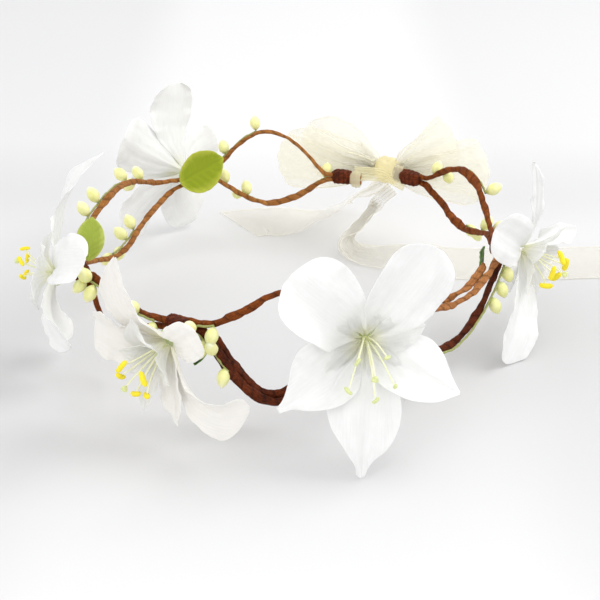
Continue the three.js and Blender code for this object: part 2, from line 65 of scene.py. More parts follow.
LASHINGS = {
    "right": dict(angle=-4, lift=2),
    "front": dict(angle=-72, lift=2),
    "front_left": dict(angle=-117, lift=1),
    "left": dict(angle=-160, lift=1),
    "back_left": dict(angle=-241, lift=0),
    "left_end": dict(angle=-287, lift=-2, stub=10),
    "right_end": dict(angle=50, lift=4, stub=10),
}

EYES = {
    "right_front": dict(ends=("right", "front"), upper=(-7, -4, 0.4), lower=(-25, -7, 0.5)),
    "front": dict(ends=("front", "front_left"), upper=(16, -2, 0.35), lower=(-27, 2, 0.46)),
    "left_front": dict(ends=("front_left", "left"), upper=(-2, -4, 0.6), lower=(-26, -3, 0.6)),
    "left_back": dict(ends=("left", "back_left"), upper=(16, -14, 0.42), lower=(-13, -13, 0.45)),
    "back": dict(ends=("back_left", "left_end"), upper=(20, 0, 0.5), lower=(-15, 0, 0.5)),
    "right_back": dict(ends=("right_end", "right"), upper=(12, 1, 0.4), lower=(-10, -2, 0.4)),
}
DOUBLED = [("right_front", "upper"), ("front", "lower")]  # vines with a second one beside them


# ---- Small maths ----
def lerp(a, b, t):
    return a + (b - a) * t


def smoothstep(a, b, x):
    t = np.clip((np.asarray(x, float) - a) / (b - a), 0, 1)
    return t * t * (3 - 2 * t)


def together(*parts):
    """Points, or map coordinates, from their separate numbers."""
    return np.stack(np.broadcast_arrays(*parts), -1)


def around(angle, radius, z):
    """A point, or points, at an angle in degrees about +Z."""
    a = np.radians(angle)
    return together(radius * np.cos(a), radius * np.sin(a), z).astype(float)


def unit(v):
    v = np.asarray(v, float)
    return v / np.maximum(np.linalg.norm(v, axis=-1, keepdims=True), 1e-9)


def wobble(x, seed, scale):
    """A smooth wander of about -1 to 1 along x, one bump in every scale or so."""
    rng = np.random.default_rng(seed)
    total = np.zeros_like(np.asarray(x, float))
    for octave, gain in ((1, 0.6), (2.3, 0.3), (4.7, 0.15)):
        total = total + gain * np.sin(2 * math.pi * octave * x / scale + rng.uniform(0, 6.28))
    return total


def spline(points, count):
    """count points, evenly spaced, on a smooth curve through points."""
    p = np.array(points, float)
    p = np.vstack([2 * p[0] - p[1], p, 2 * p[-1] - p[-2]])
    t = np.linspace(0, len(p) - 3, 40 * count)
    i = np.minimum(t.astype(int), len(p) - 4)
    f = (t - i)[:, None]
    a, b, c, d = p[i], p[i + 1], p[i + 2], p[i + 3]
    dense = 0.5 * (2 * b + (c - a) * f + (2 * a - 5 * b + 4 * c - d) * f**2 + (3 * b - a - 3 * c + d) * f**3)
    return resample(dense, count)


def resample(points, count):
    run = lengths(points)
    at = np.linspace(0, run[-1], count)
    return np.stack([np.interp(at, run, points[:, k]) for k in range(3)], -1)


def totals(steps):
    """Running totals, from 0."""
    return np.concatenate([[0], np.cumsum(steps)])


def lengths(points):
    return totals(np.linalg.norm(np.diff(points, axis=0), axis=1))


def column(start, end, count):
    """Numbers along a surface's length. Those across it go in rows, and the two spread over the grid together."""
    return np.linspace(start, end, count)[:, None]


def frames(points, first):
    """Tangents, and two directions across that turn as little as they can along the points."""
    tangent = unit(np.gradient(points, axis=0))
    across = np.empty_like(tangent)
    across[0] = unit(first - tangent[0] * np.dot(first, tangent[0]))
    for i in range(1, len(points)):
        a = across[i - 1] - tangent[i] * np.dot(across[i - 1], tangent[i])
        across[i] = unit(a)
    return tangent, across, np.cross(tangent, across)


def ring_of(count):
    """Angles evenly round a full turn."""
    return np.linspace(0, 2 * math.pi, count, endpoint=False)


# ---- Meshes ----
def put_in_scene(name, data):
    made = bpy.data.objects.new(name, data)
    bpy.context.scene.collection.objects.link(made)
    return made


class Patchwork:
    """Vertices and faces gathered from several surfaces, to be made into one object."""

    def __init__(self):
        self.verts, self.faces, self.uvs, self.marks, self.slots = [], [], [], [], []
        self.count = 0

    def grid(self, points, uv, mark=None, slot=0, close_u=False):
        """points is rows x columns x 3. mark is a number per point, which the materials read."""
        rows, cols = points.shape[:2]
        index = self.count + np.arange(rows * cols).reshape(rows, cols)
        self.verts.append(points.reshape(-1, 3))
        self.uvs.append(uv.reshape(-1, 2))
        self.marks.append(np.zeros(rows * cols) if mark is None else np.broadcast_to(mark, (rows, cols)).reshape(-1))
        if close_u:
            nxt = np.roll(index, -1, axis=1)
            quads = np.stack([index[:-1], nxt[:-1], nxt[1:], index[1:]], -1).reshape(-1, 4)
        else:
            quads = np.stack([index[:-1, :-1], index[:-1, 1:], index[1:, 1:], index[1:, :-1]], -1).reshape(-1, 4)
        self.faces.extend(map(tuple, quads.tolist()))
        self.slots.extend([slot] * len(quads))
        self.count += rows * cols
        return index

    def closed(self, points, uv, mark=None, slot=0):
        """A grid that goes round, with a face over each end."""
        index = self.grid(points, uv, mark, slot, close_u=True)
        for ring in (index[0][::-1], index[-1]):
            self.faces.append(tuple(ring.tolist()))
            self.slots.append(slot)

    def tube(self, points, radius, sides, slot=0, first=(0.3, 0.2, 1), mark=None):
        """radius is a number, or an array of rings x sides."""
        _, a, b = frames(points, np.asarray(first, float))
        turn = ring_of(sides)
        r = np.broadcast_to(np.asarray(radius, float), (len(points), sides))
        rings = points[:, None] + r[..., None] * (
            np.cos(turn)[None, :, None] * a[:, None] + np.sin(turn)[None, :, None] * b[:, None]
        )
        run = lengths(points)
        uv = together(turn[None, :] / (2 * math.pi), run[:, None] / UV_CELL)
        self.closed(rings, uv, mark, slot)

    def object(self, name, materials, solid=0.0, levels=0):
        mesh = bpy.data.meshes.new(name)
        verts = np.concatenate(self.verts) * MM
        mesh.from_pydata(verts.tolist(), [], self.faces)
        uvs = np.concatenate(self.uvs)
        layer = mesh.uv_layers.new(name="map")
        loops = np.empty(len(mesh.loops), int)
        mesh.loops.foreach_get("vertex_index", loops)
        layer.data.foreach_set("uv", uvs[loops].astype(np.float32).ravel())
        attribute = mesh.attributes.new("mark", "FLOAT", "POINT")
        attribute.data.foreach_set("value", np.concatenate(self.marks).astype(np.float32))
        mesh.polygons.foreach_set("use_smooth", [True] * len(mesh.polygons))
        mesh.polygons.foreach_set("material_index", self.slots)
        for m in materials:
            mesh.materials.append(m)
        mesh.validate()
        mesh.update()
        obj = put_in_scene(name, mesh)
        if solid:
            modifier = obj.modifiers.new("thickness", "SOLIDIFY")
            modifier.thickness = solid * MM
            modifier.offset = 0
            modifier.use_even_offset = True
            modifier.thickness_clamp = 0
        if levels:
            modifier = obj.modifiers.new("smooth", "SUBSURF")
            modifier.levels = modifier.render_levels = levels
        return obj


def settle(piece, body, slot, *nodes):
    """What the piece rides on, what kind of part it is (not used), and the CAD nodes that it stands for."""
    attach(piece, body)
    if nodes:
        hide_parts(*nodes)


# ---- Materials ----
class Shader:
    """A material's node tree, with short ways to add to it."""

    def __init__(self, name):
        self.material = bpy.data.materials.new(name)
        self.material.use_nodes = True
        self.tree = self.material.node_tree
        self.tree.nodes.clear()
        self.output = self.tree.nodes.new("ShaderNodeOutputMaterial")

    def put(self, socket, value):
        """Links a socket to another node, or sets it where it is the same all over."""
        if isinstance(value, bpy.types.NodeSocket):
            self.tree.links.new(value, socket)
        else:
            socket.default_value = value

    def add(self, kind, inputs=(), **settings):
        node = self.tree.nodes.new("ShaderNode" + kind)
        for key, value in settings.items():
            setattr(node, key, value)
        for key, value in dict(inputs).items():
            self.put(node.inputs[key], value)
        return node

    def mapped(self, scale=(1, 1, 1), source="UV"):
        where = self.add("TexCoord").outputs[source]
        return self.add("Mapping", {"Vector": where, "Scale": scale}).outputs["Vector"]

    def noise(self, vector, scale, detail=4.0, rough=0.55):
        inputs = {"Vector": vector, "Scale": scale, "Detail": detail, "Roughness": rough}
        return self.add("TexNoise", inputs).outputs["Fac"]

    def ramp(self, value, stops, way="LINEAR"):
        node = self.add("ValToRGB", {"Fac": value})
        ramp = node.color_ramp
        ramp.interpolation = way
        while len(ramp.elements) < len(stops):
            ramp.elements.new(0.5)
        for element, (at, colour) in zip(ramp.elements, stops):
            element.position = at
            element.color = (*colour, 1)
        return node.outputs["Color"]

    def grey_ramp(self, value, *stops, way="LINEAR"):
        """stops are (place, brightness)."""
        return self.ramp(value, [(at, (shade,) * 3) for at, shade in stops], way)

    def mix(self, factor, a, b, blend="MIX"):
        node = self.add("Mix", data_type="RGBA", blend_type=blend)
        for socket, value in ((0, factor), (6, a), (7, b)):
            self.put(node.inputs[socket], (*value, 1) if isinstance(value, tuple) else value)
        return node.outputs[2]

    def math(self, operation, a, b=0.0):
        return self.add("Math", {0: a, 1: b}, operation=operation).outputs[0]

    def mark(self):
        return self.add("Attribute", attribute_name="mark").outputs["Fac"]

    def bump(self, height, strength, distance, under=None):
        inputs = {"Height": height, "Strength": strength, "Distance": distance}
        if under is not None:
            inputs["Normal"] = under
        return self.add("Bump", inputs).outputs["Normal"]

    def part(self, share, under, over):
        """Two surfaces mixed: share is how much of the second shows."""
        return self.add("MixShader", {0: share, 1: under, 2: over}).outputs[0]

    def surface(self, colour, rough, normal, **more):
        inputs = {"Base Color": colour, "Roughness": rough, "Normal": normal}
        inputs.update((name.replace("_", " "), value) for name, value in more.items())
        return self.add("BsdfPrincipled", inputs).outputs[0]

    def finish(self, shader):
        self.tree.links.new(shader, self.output.inputs["Surface"])
        return self.material


def petal_material(name, throat, reach, clear, tone=(1, 1, 1)):
    """White cloth with long veins and a fine weave, tinted towards the throat. mark runs 0 to 1 along a petal."""
    s = Shader(name)
    veins = s.noise(s.mapped((5.0, 0.35, 1)), 3.2, 5)
    cloudy = s.noise(s.mapped(), 0.9, 3)
    weave = s.add("TexVoronoi", {"Vector": s.mapped(), "Scale": 26.0}).outputs["Distance"]
    whites = ((0.90, 0.905, 0.89), (0.95, 0.95, 0.94), (0.97,) * 3)
    dull, clean, bright = (tuple(np.multiply(tone, white)) for white in whites)
    white = s.ramp(cloudy, [(0.3, dull), (0.7, clean)])
    white = s.mix(s.grey_ramp(veins, (0.42, 0), (0.62, 0.6)), white, bright)
    tint = s.grey_ramp(s.mark(), (0, 1), (reach, 0))
    colour = s.mix(tint, white, throat)
    normal = s.bump(veins, 0.2, 0.0004)
    normal = s.bump(weave, 0.12, 0.0002, normal)
    cloth = s.surface(colour, 0.52, normal, Sheen_Weight=0.25, Sheen_Roughness=0.4)
    through = s.add("BsdfTranslucent", {"Color": colour, "Normal": normal})
    return s.finish(s.part(clear, cloth, through.outputs[0]))


def bark_material(name, dark, light):
    """Crinkled paper wound round wire. mark is how high the winding's edge stands, 0 to 1, and the colour darkens
    where it stands lowest: a painted shade in the groove at the foot of each raised edge.
    """
    s = Shader(name)
    fibres = s.noise(s.mapped((3, 0.8, 1)), 9, 6, 0.65)
    blotch = s.noise(s.mapped(source="Object"), 140, 3)
    grain = s.noise(s.mapped(source="Object"), 900, 4, 0.7)
    colour = s.ramp(fibres, [(0.3, dark), (0.7, light)])
    colour = s.mix(s.grey_ramp(blotch, (0.35, 0), (0.75, 0.75)), colour, dark)
    # painted shade: darker where the winding stands lowest, in the groove at the foot of each turn's raised edge
    groove_shade = s.grey_ramp(s.mark(), (0, 0.45), (0.35, 1))
    colour = s.mix(1.0, colour, groove_shade, "MULTIPLY")
    normal = s.bump(fibres, 0.7, 0.0006)
    normal = s.bump(grain, 0.35, 0.0002, normal)
    rough = s.grey_ramp(grain, (0.3, 0.45), (0.7, 0.75))
    return s.finish(s.surface(colour, rough, normal, Specular_IOR_Level=0.12))


def leaf_material(name, middle, rim):
    """Printed cloth with a waxy face. mark runs from 0 at the midrib to 1 at the rim."""
    s = Shader(name)
    cloud = s.noise(s.mapped(), 3, 4)
    wave = s.add(
        "TexWave", {"Vector": s.mapped(), "Scale": 5.0, "Distortion": 2.5, "Detail": 2.0, "Detail Scale": 1.5}
    ).outputs["Fac"]
    edge = s.math("ADD", s.mark(), s.math("MULTIPLY", s.math("SUBTRACT", cloud, 0.5), 0.6))
    colour = s.mix(s.grey_ramp(edge, (0.45, 0), (0.95, 1)), middle, rim)
    colour = s.mix(s.grey_ramp(wave, (0, 0.14), (0.3, 0)), colour, rim)
    normal = s.bump(wave, 0.3, 0.0003)
    normal = s.bump(s.noise(s.mapped(), 45, 3), 0.12, 0.0002, normal)
    return s.finish(s.surface(colour, 0.5, normal, Specular_IOR_Level=0.25))


def berry_material():
    """Foam pips under a thin glossy skin. mark is 1 at the tip and 0 at the stalk."""
    s = Shader("berry_skin")
    blotch = s.noise(s.mapped(source="Object"), 420, 4)
    colour = s.ramp(blotch, [(0.3, (0.80, 0.80, 0.30)), (0.7, (0.90, 0.89, 0.48))])
    colour = s.mix(s.grey_ramp(s.mark(), (0.75, 0), (1, 0.8)), colour, (0.93, 0.93, 0.72))
    colour = s.mix(s.grey_ramp(s.mark(), (0, 0.9), (0.16, 0)), colour, (0.45, 0.5, 0.12))
    normal = s.bump(s.noise(s.mapped(source="Object"), 1500, 3), 0.3, 0.0002)
    foam = dict(Subsurface_Weight=0.25, Subsurface_Radius=(1.0, 0.8, 0.3), Subsurface_Scale=0.0015)
    return s.finish(s.surface(colour, 0.4, normal, **foam))


def dusty_material(name, low, high, grain, rough):
    """A plain moulded or powdery finish with grains."""
    s = Shader(name)
    dust = s.noise(s.mapped(source="Object"), grain, 4, 0.7)
    colour = s.ramp(dust, [(0.3, low), (0.7, high)])
    normal = s.bump(dust, 0.6, 0.0003)
    return s.finish(s.surface(colour, rough, normal))


def organza_material(name, tint, cover):
    """Sheer woven cloth: fine threads both ways that let most light by. mark is 1 at the woven edges."""
    s = Shader(name)
    warp = s.add("TexWave", {"Vector": s.mapped(), "Scale": 9.0}, bands_direction="X").outputs["Fac"]
    weft = s.add("TexWave", {"Vector": s.mapped(), "Scale": 9.0}, bands_direction="Y").outputs["Fac"]
    threads = s.math("MAXIMUM", warp, weft)
    slubs = s.noise(s.mapped((6, 0.5, 1)), 6, 3)
    colour = s.ramp(slubs, [(0.3, tint), (0.75, tuple(min(1, c * 1.06) for c in tint))])
    edge = s.grey_ramp(s.mark(), (0.93, 0), (0.97, 0.35))
    solid = s.math("ADD", s.math("MULTIPLY", threads, 0.22), cover)
    solid = s.math("ADD", solid, s.math("MULTIPLY", s.math("SUBTRACT", slubs, 0.5), 0.25))
    solid = s.math("MINIMUM", s.math("ADD", solid, edge), 1.0)
    normal = s.bump(threads, 0.25, 0.0002)
    cloth = s.surface(colour, 0.38, normal, Sheen_Weight=0.4, Sheen_Roughness=0.3)
    through = s.add("BsdfTranslucent", {"Color": colour})
    thread = s.part(0.5, cloth, through.outputs[0])
    clear = s.add("BsdfTransparent")
    return s.finish(s.part(solid, clear.outputs[0], thread))


PETAL = petal_material("outer_petal_cloth", (0.95, 0.95, 0.86), 0.2, 0.26)
PETAL_CREAM = petal_material("cream_petal_cloth", (0.93, 0.91, 0.76), 0.25, 0.34, (1.0, 0.983, 0.962))
INNER = petal_material("inner_petal_cloth", (0.97, 0.965, 0.84), 0.35, 0.72)
BARK_LIGHT = bark_material("bark_paper_light", (0.21, 0.065, 0.012), (0.60, 0.27, 0.075))
BARK_RED = bark_material("bark_paper_red", (0.085, 0.015, 0.002), (0.40, 0.105, 0.016))
BARK_DARK = bark_material("bark_paper_dark", (0.020, 0.003, 0.0008), (0.23, 0.043, 0.009))
BARK_TAN = bark_material("bark_paper_tan", (0.24, 0.075, 0.02), (0.62, 0.28, 0.09))
LEAF_ROUND = leaf_material("leaf_deep_green", (0.27, 0.345, 0.008), (0.47, 0.51, 0.05))
LEAF_PALE = leaf_material("leaf_pale_green", (0.40, 0.50, 0.07), (0.56, 0.62, 0.14))
LEAF_DARK = leaf_material("leaf_dark_green", (0.02, 0.07, 0.015), (0.12, 0.24, 0.03))
BERRY = berry_material()
STALK = dusty_material("stalk_tape", (0.24, 0.26, 0.07), (0.42, 0.44, 0.15), 700, 0.6)
FILAMENT = dusty_material("filament", (0.82, 0.83, 0.50), (0.92, 0.92, 0.70), 500, 0.5)
ANTHER = dusty_material("anther_dust", (0.90, 0.70, 0.015), (1.0, 0.88, 0.04), 1800, 0.75)
STIGMA = dusty_material("stigma", (0.60, 0.66, 0.24), (0.78, 0.82, 0.42), 1200, 0.5)
GREEN = dusty_material("calyx_moulding", (0.42, 0.52, 0.16), (0.62, 0.70, 0.32), 260, 0.5)
ORGANZA = organza_material("organza", (0.995, 0.955, 0.845), 0.19)
ORGANZA_TAIL = organza_material("organza_flat", (0.99, 0.95, 0.875), 0.13)
ORGANZA_TIE = organza_material("organza_strap", (1.0, 0.93, 0.70), 0.34)
ORGANZA_KNOT = organza_material("organza_gathered", (1.0, 0.90, 0.58), 0.62)


# ---- Vines ----
def bump_at(share, peak):
    """How far along its bulge a vine is, 0 at both ends and 1 where share is peak."""
    s, p = (1 - share, 1 - peak) if peak < 0.5 else (share, peak)
    return np.maximum(np.sin(math.pi * s ** (math.log(0.5) / math.log(p))), 0) ** 1.25


def share_of(eye, length):
    """A length along the hoop as a share of an eye."""
    a, b = (LASHINGS[n]["angle"] for n in EYES[eye]["ends"])
    return length / (HOOP_RADIUS * math.radians(abs(b - a)))


def vine_point(eye, side, t, aside=0.0):
    """Points of a vine's centreline at shares t of its eye, as in the part."""
    start, end = (LASHINGS[n] for n in EYES[eye]["ends"])
    away, lean, peak = EYES[eye][side]
    flat = share_of(eye, HOLD)
    share = np.clip((t - flat) / (1 - 2 * flat), 0, 1)
    bump = bump_at(share, peak)
    eased = smoothstep(0, 1, share)
    way = 1 if side == "upper" else -1
    radius = HOOP_RADIUS + lerp(LAY, -LAY, eased) + lean * bump + aside
    z = HOOP_HEIGHT + lerp(start["lift"], end["lift"], eased) + way * LAY + away * bump - aside * 0.35
    return around(lerp(start["angle"], end["angle"], t), radius, z)


def paper_strand(work, points, radius, seed, flatten, lumps):
    """A wire with paper wound round it: a flattened section that turns, a winding with a raised edge, and lumps."""
    run = lengths(points)
    sides = 20
    pitch = 5.5
    turn = ring_of(sides)[None, :]
    s = run[:, None]
    phase = (s / pitch - turn / (2 * math.pi)) % 1.0
    ridge = np.where(phase < 0.85, phase / 0.85, (1 - phase) / 0.15)
    swell = 1 + 0.09 * wobble(s, seed, 23) + 0.04 * wobble(s, seed + 5, 7)
    oval = 1 + flatten * np.cos(2 * (turn - s / 9 - 0.8 * wobble(s, seed + 9, 40)))
    crease = 0.05 * np.cos(5 * turn + 2 * wobble(s, seed + 3, 15)) + 0.03 * np.cos(9 * turn + s)
    r = radius * swell * oval * (1 + crease) + 0.14 * (ridge - 0.5)
    for at, gain, reach in lumps:
        r = r * (1 + gain * np.exp(-(((s / run[-1] - at) / reach) ** 2)))
    work.tube(points, r, sides, mark=ridge)


# flatten is how oval the section is, and a lump is its place along the vine, its height and its reach, as shares.
VINE_LOOKS = {
    ("right_front", "upper"): dict(material=BARK_TAN, flatten=0.24),
    ("right_front", "lower"): dict(material=BARK_DARK, radius=1.5, lumps=[(0.8, 0.35, 0.12)]),
    ("front", "upper"): dict(material=BARK_RED, radius=1.4, lumps=[(0.72, 0.15, 0.05)]),
    ("front", "lower"): dict(material=BARK_DARK, radius=1.75, lumps=[(0.75, 0.3, 0.1)]),
    ("left_front", "upper"): dict(material=BARK_RED, lumps=[(0.78, 0.5, 0.05)]),
    ("left_front", "lower"): dict(material=BARK_RED),
    ("left_back", "upper"): dict(material=BARK_LIGHT, radius=1.15, lumps=[(0.42, 0.25, 0.08)]),
    ("left_back", "lower"): dict(material=BARK_LIGHT, radius=1.15, lumps=[(0.7, 0.15, 0.1)]),
    ("back", "upper"): dict(material=BARK_LIGHT, radius=0.9),
    ("back", "lower"): dict(material=BARK_LIGHT, radius=1.1, lumps=[(0.62, 0.35, 0.14)]),
    ("right_back", "upper"): dict(material=BARK_RED, lumps=[(0.5, 0.4, 0.12)]),
    ("right_back", "lower"): dict(material=BARK_RED, lumps=[(0.42, 0.5, 0.1)]),
}


def make_vines():
    step, fixed, stray = 0.45, 14, 0.45  # between rings, the length at each end that stays put, the wander elsewhere
    for k, ((eye, side), look) in enumerate(VINE_LOOKS.items()):
        ends = [LASHINGS[n] for n in EYES[eye]["ends"]]
        before = -share_of(eye, ends[0].get("stub", OVERRUN))
        after = 1 + share_of(eye, ends[1].get("stub", OVERRUN))
        strands = [("", before, after, 0.0)]
        if (eye, side) in DOUBLED:
            strands.append(("_double", 0.2, 0.84, -2 * VINE_RADIUS - 2 * GAP))
        for suffix, low, high, aside in strands:
            points = vine_point(eye, side, np.linspace(low, high, 400), aside)
            points = resample(points, int(lengths(points)[-1] / step))
            run = lengths(points)
            free = smoothstep(0, fixed, run) * smoothstep(0, fixed, run[-1] - run)
            seed = 11 + k + (40 if suffix else 0)
            for axis in range(3):
                points[:, axis] += stray * free * wobble(run, seed + 7 * axis, 38)
            work = Patchwork()
            radius = look.get("radius", 1.3) * (0.9 if suffix else 1)
            flatten = 0.42 if suffix and eye == "right_front" else look.get("flatten", 0.16)
            paper_strand(work, points, radius, seed, flatten, look.get("lumps", ()))
            name = f"vine_{eye}_{side}{suffix}"
            piece = work.object(f"{name}_paper", [look["material"]])
            settle(piece, "crown", "vine", name)


def make_lashings():
    """Paper tape wound over the vines where they meet, drawn in at both ends."""
    for k, (name, place) in enumerate(LASHINGS.items()):
        outward = around(place["angle"], 1, 0)
        tangent = np.cross(outward, UP)
        middle = around(place["angle"], HOOP_RADIUS, HOOP_HEIGHT + place["lift"])
        along = column(-5.6, 5.6, 70)
        points = middle + along * tangent
        sides = 40
        turn = ring_of(sides)[None, :]
        square = (np.abs(np.cos(turn)) ** 4 + np.abs(np.sin(turn)) ** 4) ** -0.25
        lobes = 1 + 0.05 * np.cos(4 * (turn - math.pi / 4) + along * 0.35)
        phase = (along / 2.3 - turn / (2 * math.pi)) % 1.0
        ridge = np.where(phase < 0.88, phase / 0.88, (1 - phase) / 0.12)
        drawn = 1 - 0.42 * smoothstep(3.4, 5.7, np.abs(along))
        r = 3.35 * square**0.55 * lobes * drawn + 0.24 * (ridge - 0.5) + 0.08 * np.cos(7 * turn + along + k)
        work = Patchwork()
        work.tube(points, r, sides, mark=ridge, first=outward)
        piece = work.object(f"lashing_{name}_tape", [BARK_DARK])
        settle(piece, "crown", "tape", f"lashing_{name}")


# ---- Lilies ----
# A petal's half width along its length, as a share of its widest.
SHAPES = {
    "round": ((0, 0.16), (0.12, 0.26), (0.3, 0.62), (0.5, 0.9), (0.7, 1), (0.85, 0.9), (0.94, 0.64), (1, 0.16)),
    "point": ((0, 0.16), (0.12, 0.3), (0.3, 0.74), (0.46, 0.98), (0.62, 0.96), (0.8, 0.62), (0.92, 0.26), (1, 0.03)),
    "spike": ((0, 0.16), (0.12, 0.3), (0.3, 0.76), (0.48, 1), (0.64, 0.86), (0.8, 0.46), (0.9, 0.2), (1, 0.07)),
    "spoon": ((0, 0.22), (0.2, 0.34), (0.45, 0.52), (0.65, 0.82), (0.82, 1), (0.93, 0.72), (1, 0.1)),
    "blade": ((0, 0.3), (0.2, 0.7), (0.45, 1), (0.7, 0.84), (0.88, 0.42), (1, 0.04)),
}


# What a petal has where its own row doesn't say. base is how far forward of its whorl it starts, open how far it
# leans back in degrees along its length, and roll, fold, frill, twist, tilt and sweep bend it as in petal_surface.
PLAIN_PETAL = dict(shape="round", base=0, cup=0.42, roll=(0, 0), fold=(0.5, 1.0), frill=1.0, twist=0, tilt=0, sweep=0)


def petal_surface(spec, rows=38, cols=27):
    """A petal in its flower's frame: x and y across the face, z the way it faces. Returns points, uv and mark.
    Its rims are numbered clockwise and anticlockwise as seen from the front, and roll back where roll is positive."""
    v = column(0, 1, rows)
    u = column(-1, 1, cols).T
    opening = spec["open"]
    if np.ndim(opening) == 1:
        opening = tuple(zip((0.12, 0.5, 0.88), opening))
    bend = np.interp(v[:, 0], *zip(*opening))
    bend = np.convolve(np.pad(bend, 4, mode="edge"), np.ones(9) / 9, "valid")
    angle = np.radians(bend)[:, None]
    step = spec["length"] / (rows - 1)
    r = spec["root"] + totals(np.sin(angle[:-1]) * step)[:, None]
    z = spec["base"] + totals(np.cos(angle[:-1]) * step)[:, None]
    outline = spline([(a, b, 0) for a, b in SHAPES[spec["shape"]]], 120)
    half = 0.5 * spec["width"] * np.maximum(np.interp(v, outline[:, 0], outline[:, 1]), 0.03)
    cup = spec["cup"] * (1 - 0.5 * smoothstep(0.1, 0.9, v)) + 1.0 * (1 - smoothstep(0, 0.28, v))
    clockwise, anticlockwise = spec["roll"]
    low, high = spec["fold"]
    rolls = smoothstep(0.2, 0.6, v)
    keel = 0.22 * smoothstep(0.1, 0.4, v) * (1 - 0.7 * smoothstep(0.7, 1, v))
    theta = cup * u + keel * np.tanh(u * 5)
    theta = theta + clockwise * rolls * smoothstep(low, high, -u)
    theta = theta - anticlockwise * rolls * smoothstep(low, high, u)
    du = u[0, 1] - u[0, 0]
    middle = [cols // 2]
    x = np.cumsum(np.cos(theta), 1) * du
    n = np.cumsum(np.sin(theta), 1) * du
    x = (x - x[:, middle]) * half
    n = (n - n[:, middle]) * half
    seed = spec["seed"]
    ripple = np.where(u > 0, wobble(v * 100, seed, 44), wobble(v * 100, seed + 50, 37))
    n = n + spec["frill"] * ripple * np.abs(u) ** 2.2 * smoothstep(0.15, 0.5, v)
    n = n + 0.5 * (wobble(v * 100, seed + 20, 70) * np.cos(u * 1.5)) * smoothstep(0.3, 0.9, v)
    n = n - 0.5 * np.exp(-((u / 0.16) ** 2)) * (1 - 0.6 * v)
    pleat = 0.24 * np.cos(u * math.pi * 4.5 + seed) + 0.1 * np.cos(u * math.pi * 9 + 2 * seed)
    n = n + pleat * (np.sin(math.pi * v) * (1.1 - 0.6 * v))
    twist = math.radians(spec["twist"]) * smoothstep(0.3, 1.0, v) + math.radians(spec["tilt"])
    x, n = x * np.cos(twist) - n * np.sin(twist), x * np.sin(twist) + n * np.cos(twist)
    r = r - np.cos(angle) * n
    z = z + np.sin(angle) * n
    way = np.radians(spec["turn"]) + math.radians(spec["sweep"]) * v**2
    points = together(r * np.cos(way) - x * np.sin(way), r * np.sin(way) + x * np.cos(way), z)
    return points, together(u * half, v * spec["length"]) / UV_CELL, np.broadcast_to(v, (rows, cols))


def basis(name):
    """A lily's frame: its hub, and the directions right, up and outwards."""
    place, flower = LASHINGS[name], FLOWERS[name]
    at = place["angle"] + flower.get("shift", 0)
    pivot = around(at, HOOP_RADIUS + PIVOT_OUT, HOOP_HEIGHT + place["lift"])
    up_angle = math.radians(flower["up"])
    face = around(flower["face"], math.cos(up_angle), math.sin(up_angle))
    up = unit(UP - face * face[2])
    right = np.cross(up, face)
    return pivot + face * STEM_LENGTH, np.stack([right, up, face])


def petals(*rows, **shared):
    """Petal specifications from short rows of (turn, length, extras)."""
    made = []
    for k, (turn, length, *extra) in enumerate(rows):
        made.append({**shared, "turn": turn, "length": length, "seed": shared["seed"] + 7 * k, **dict(*extra)})
    return made


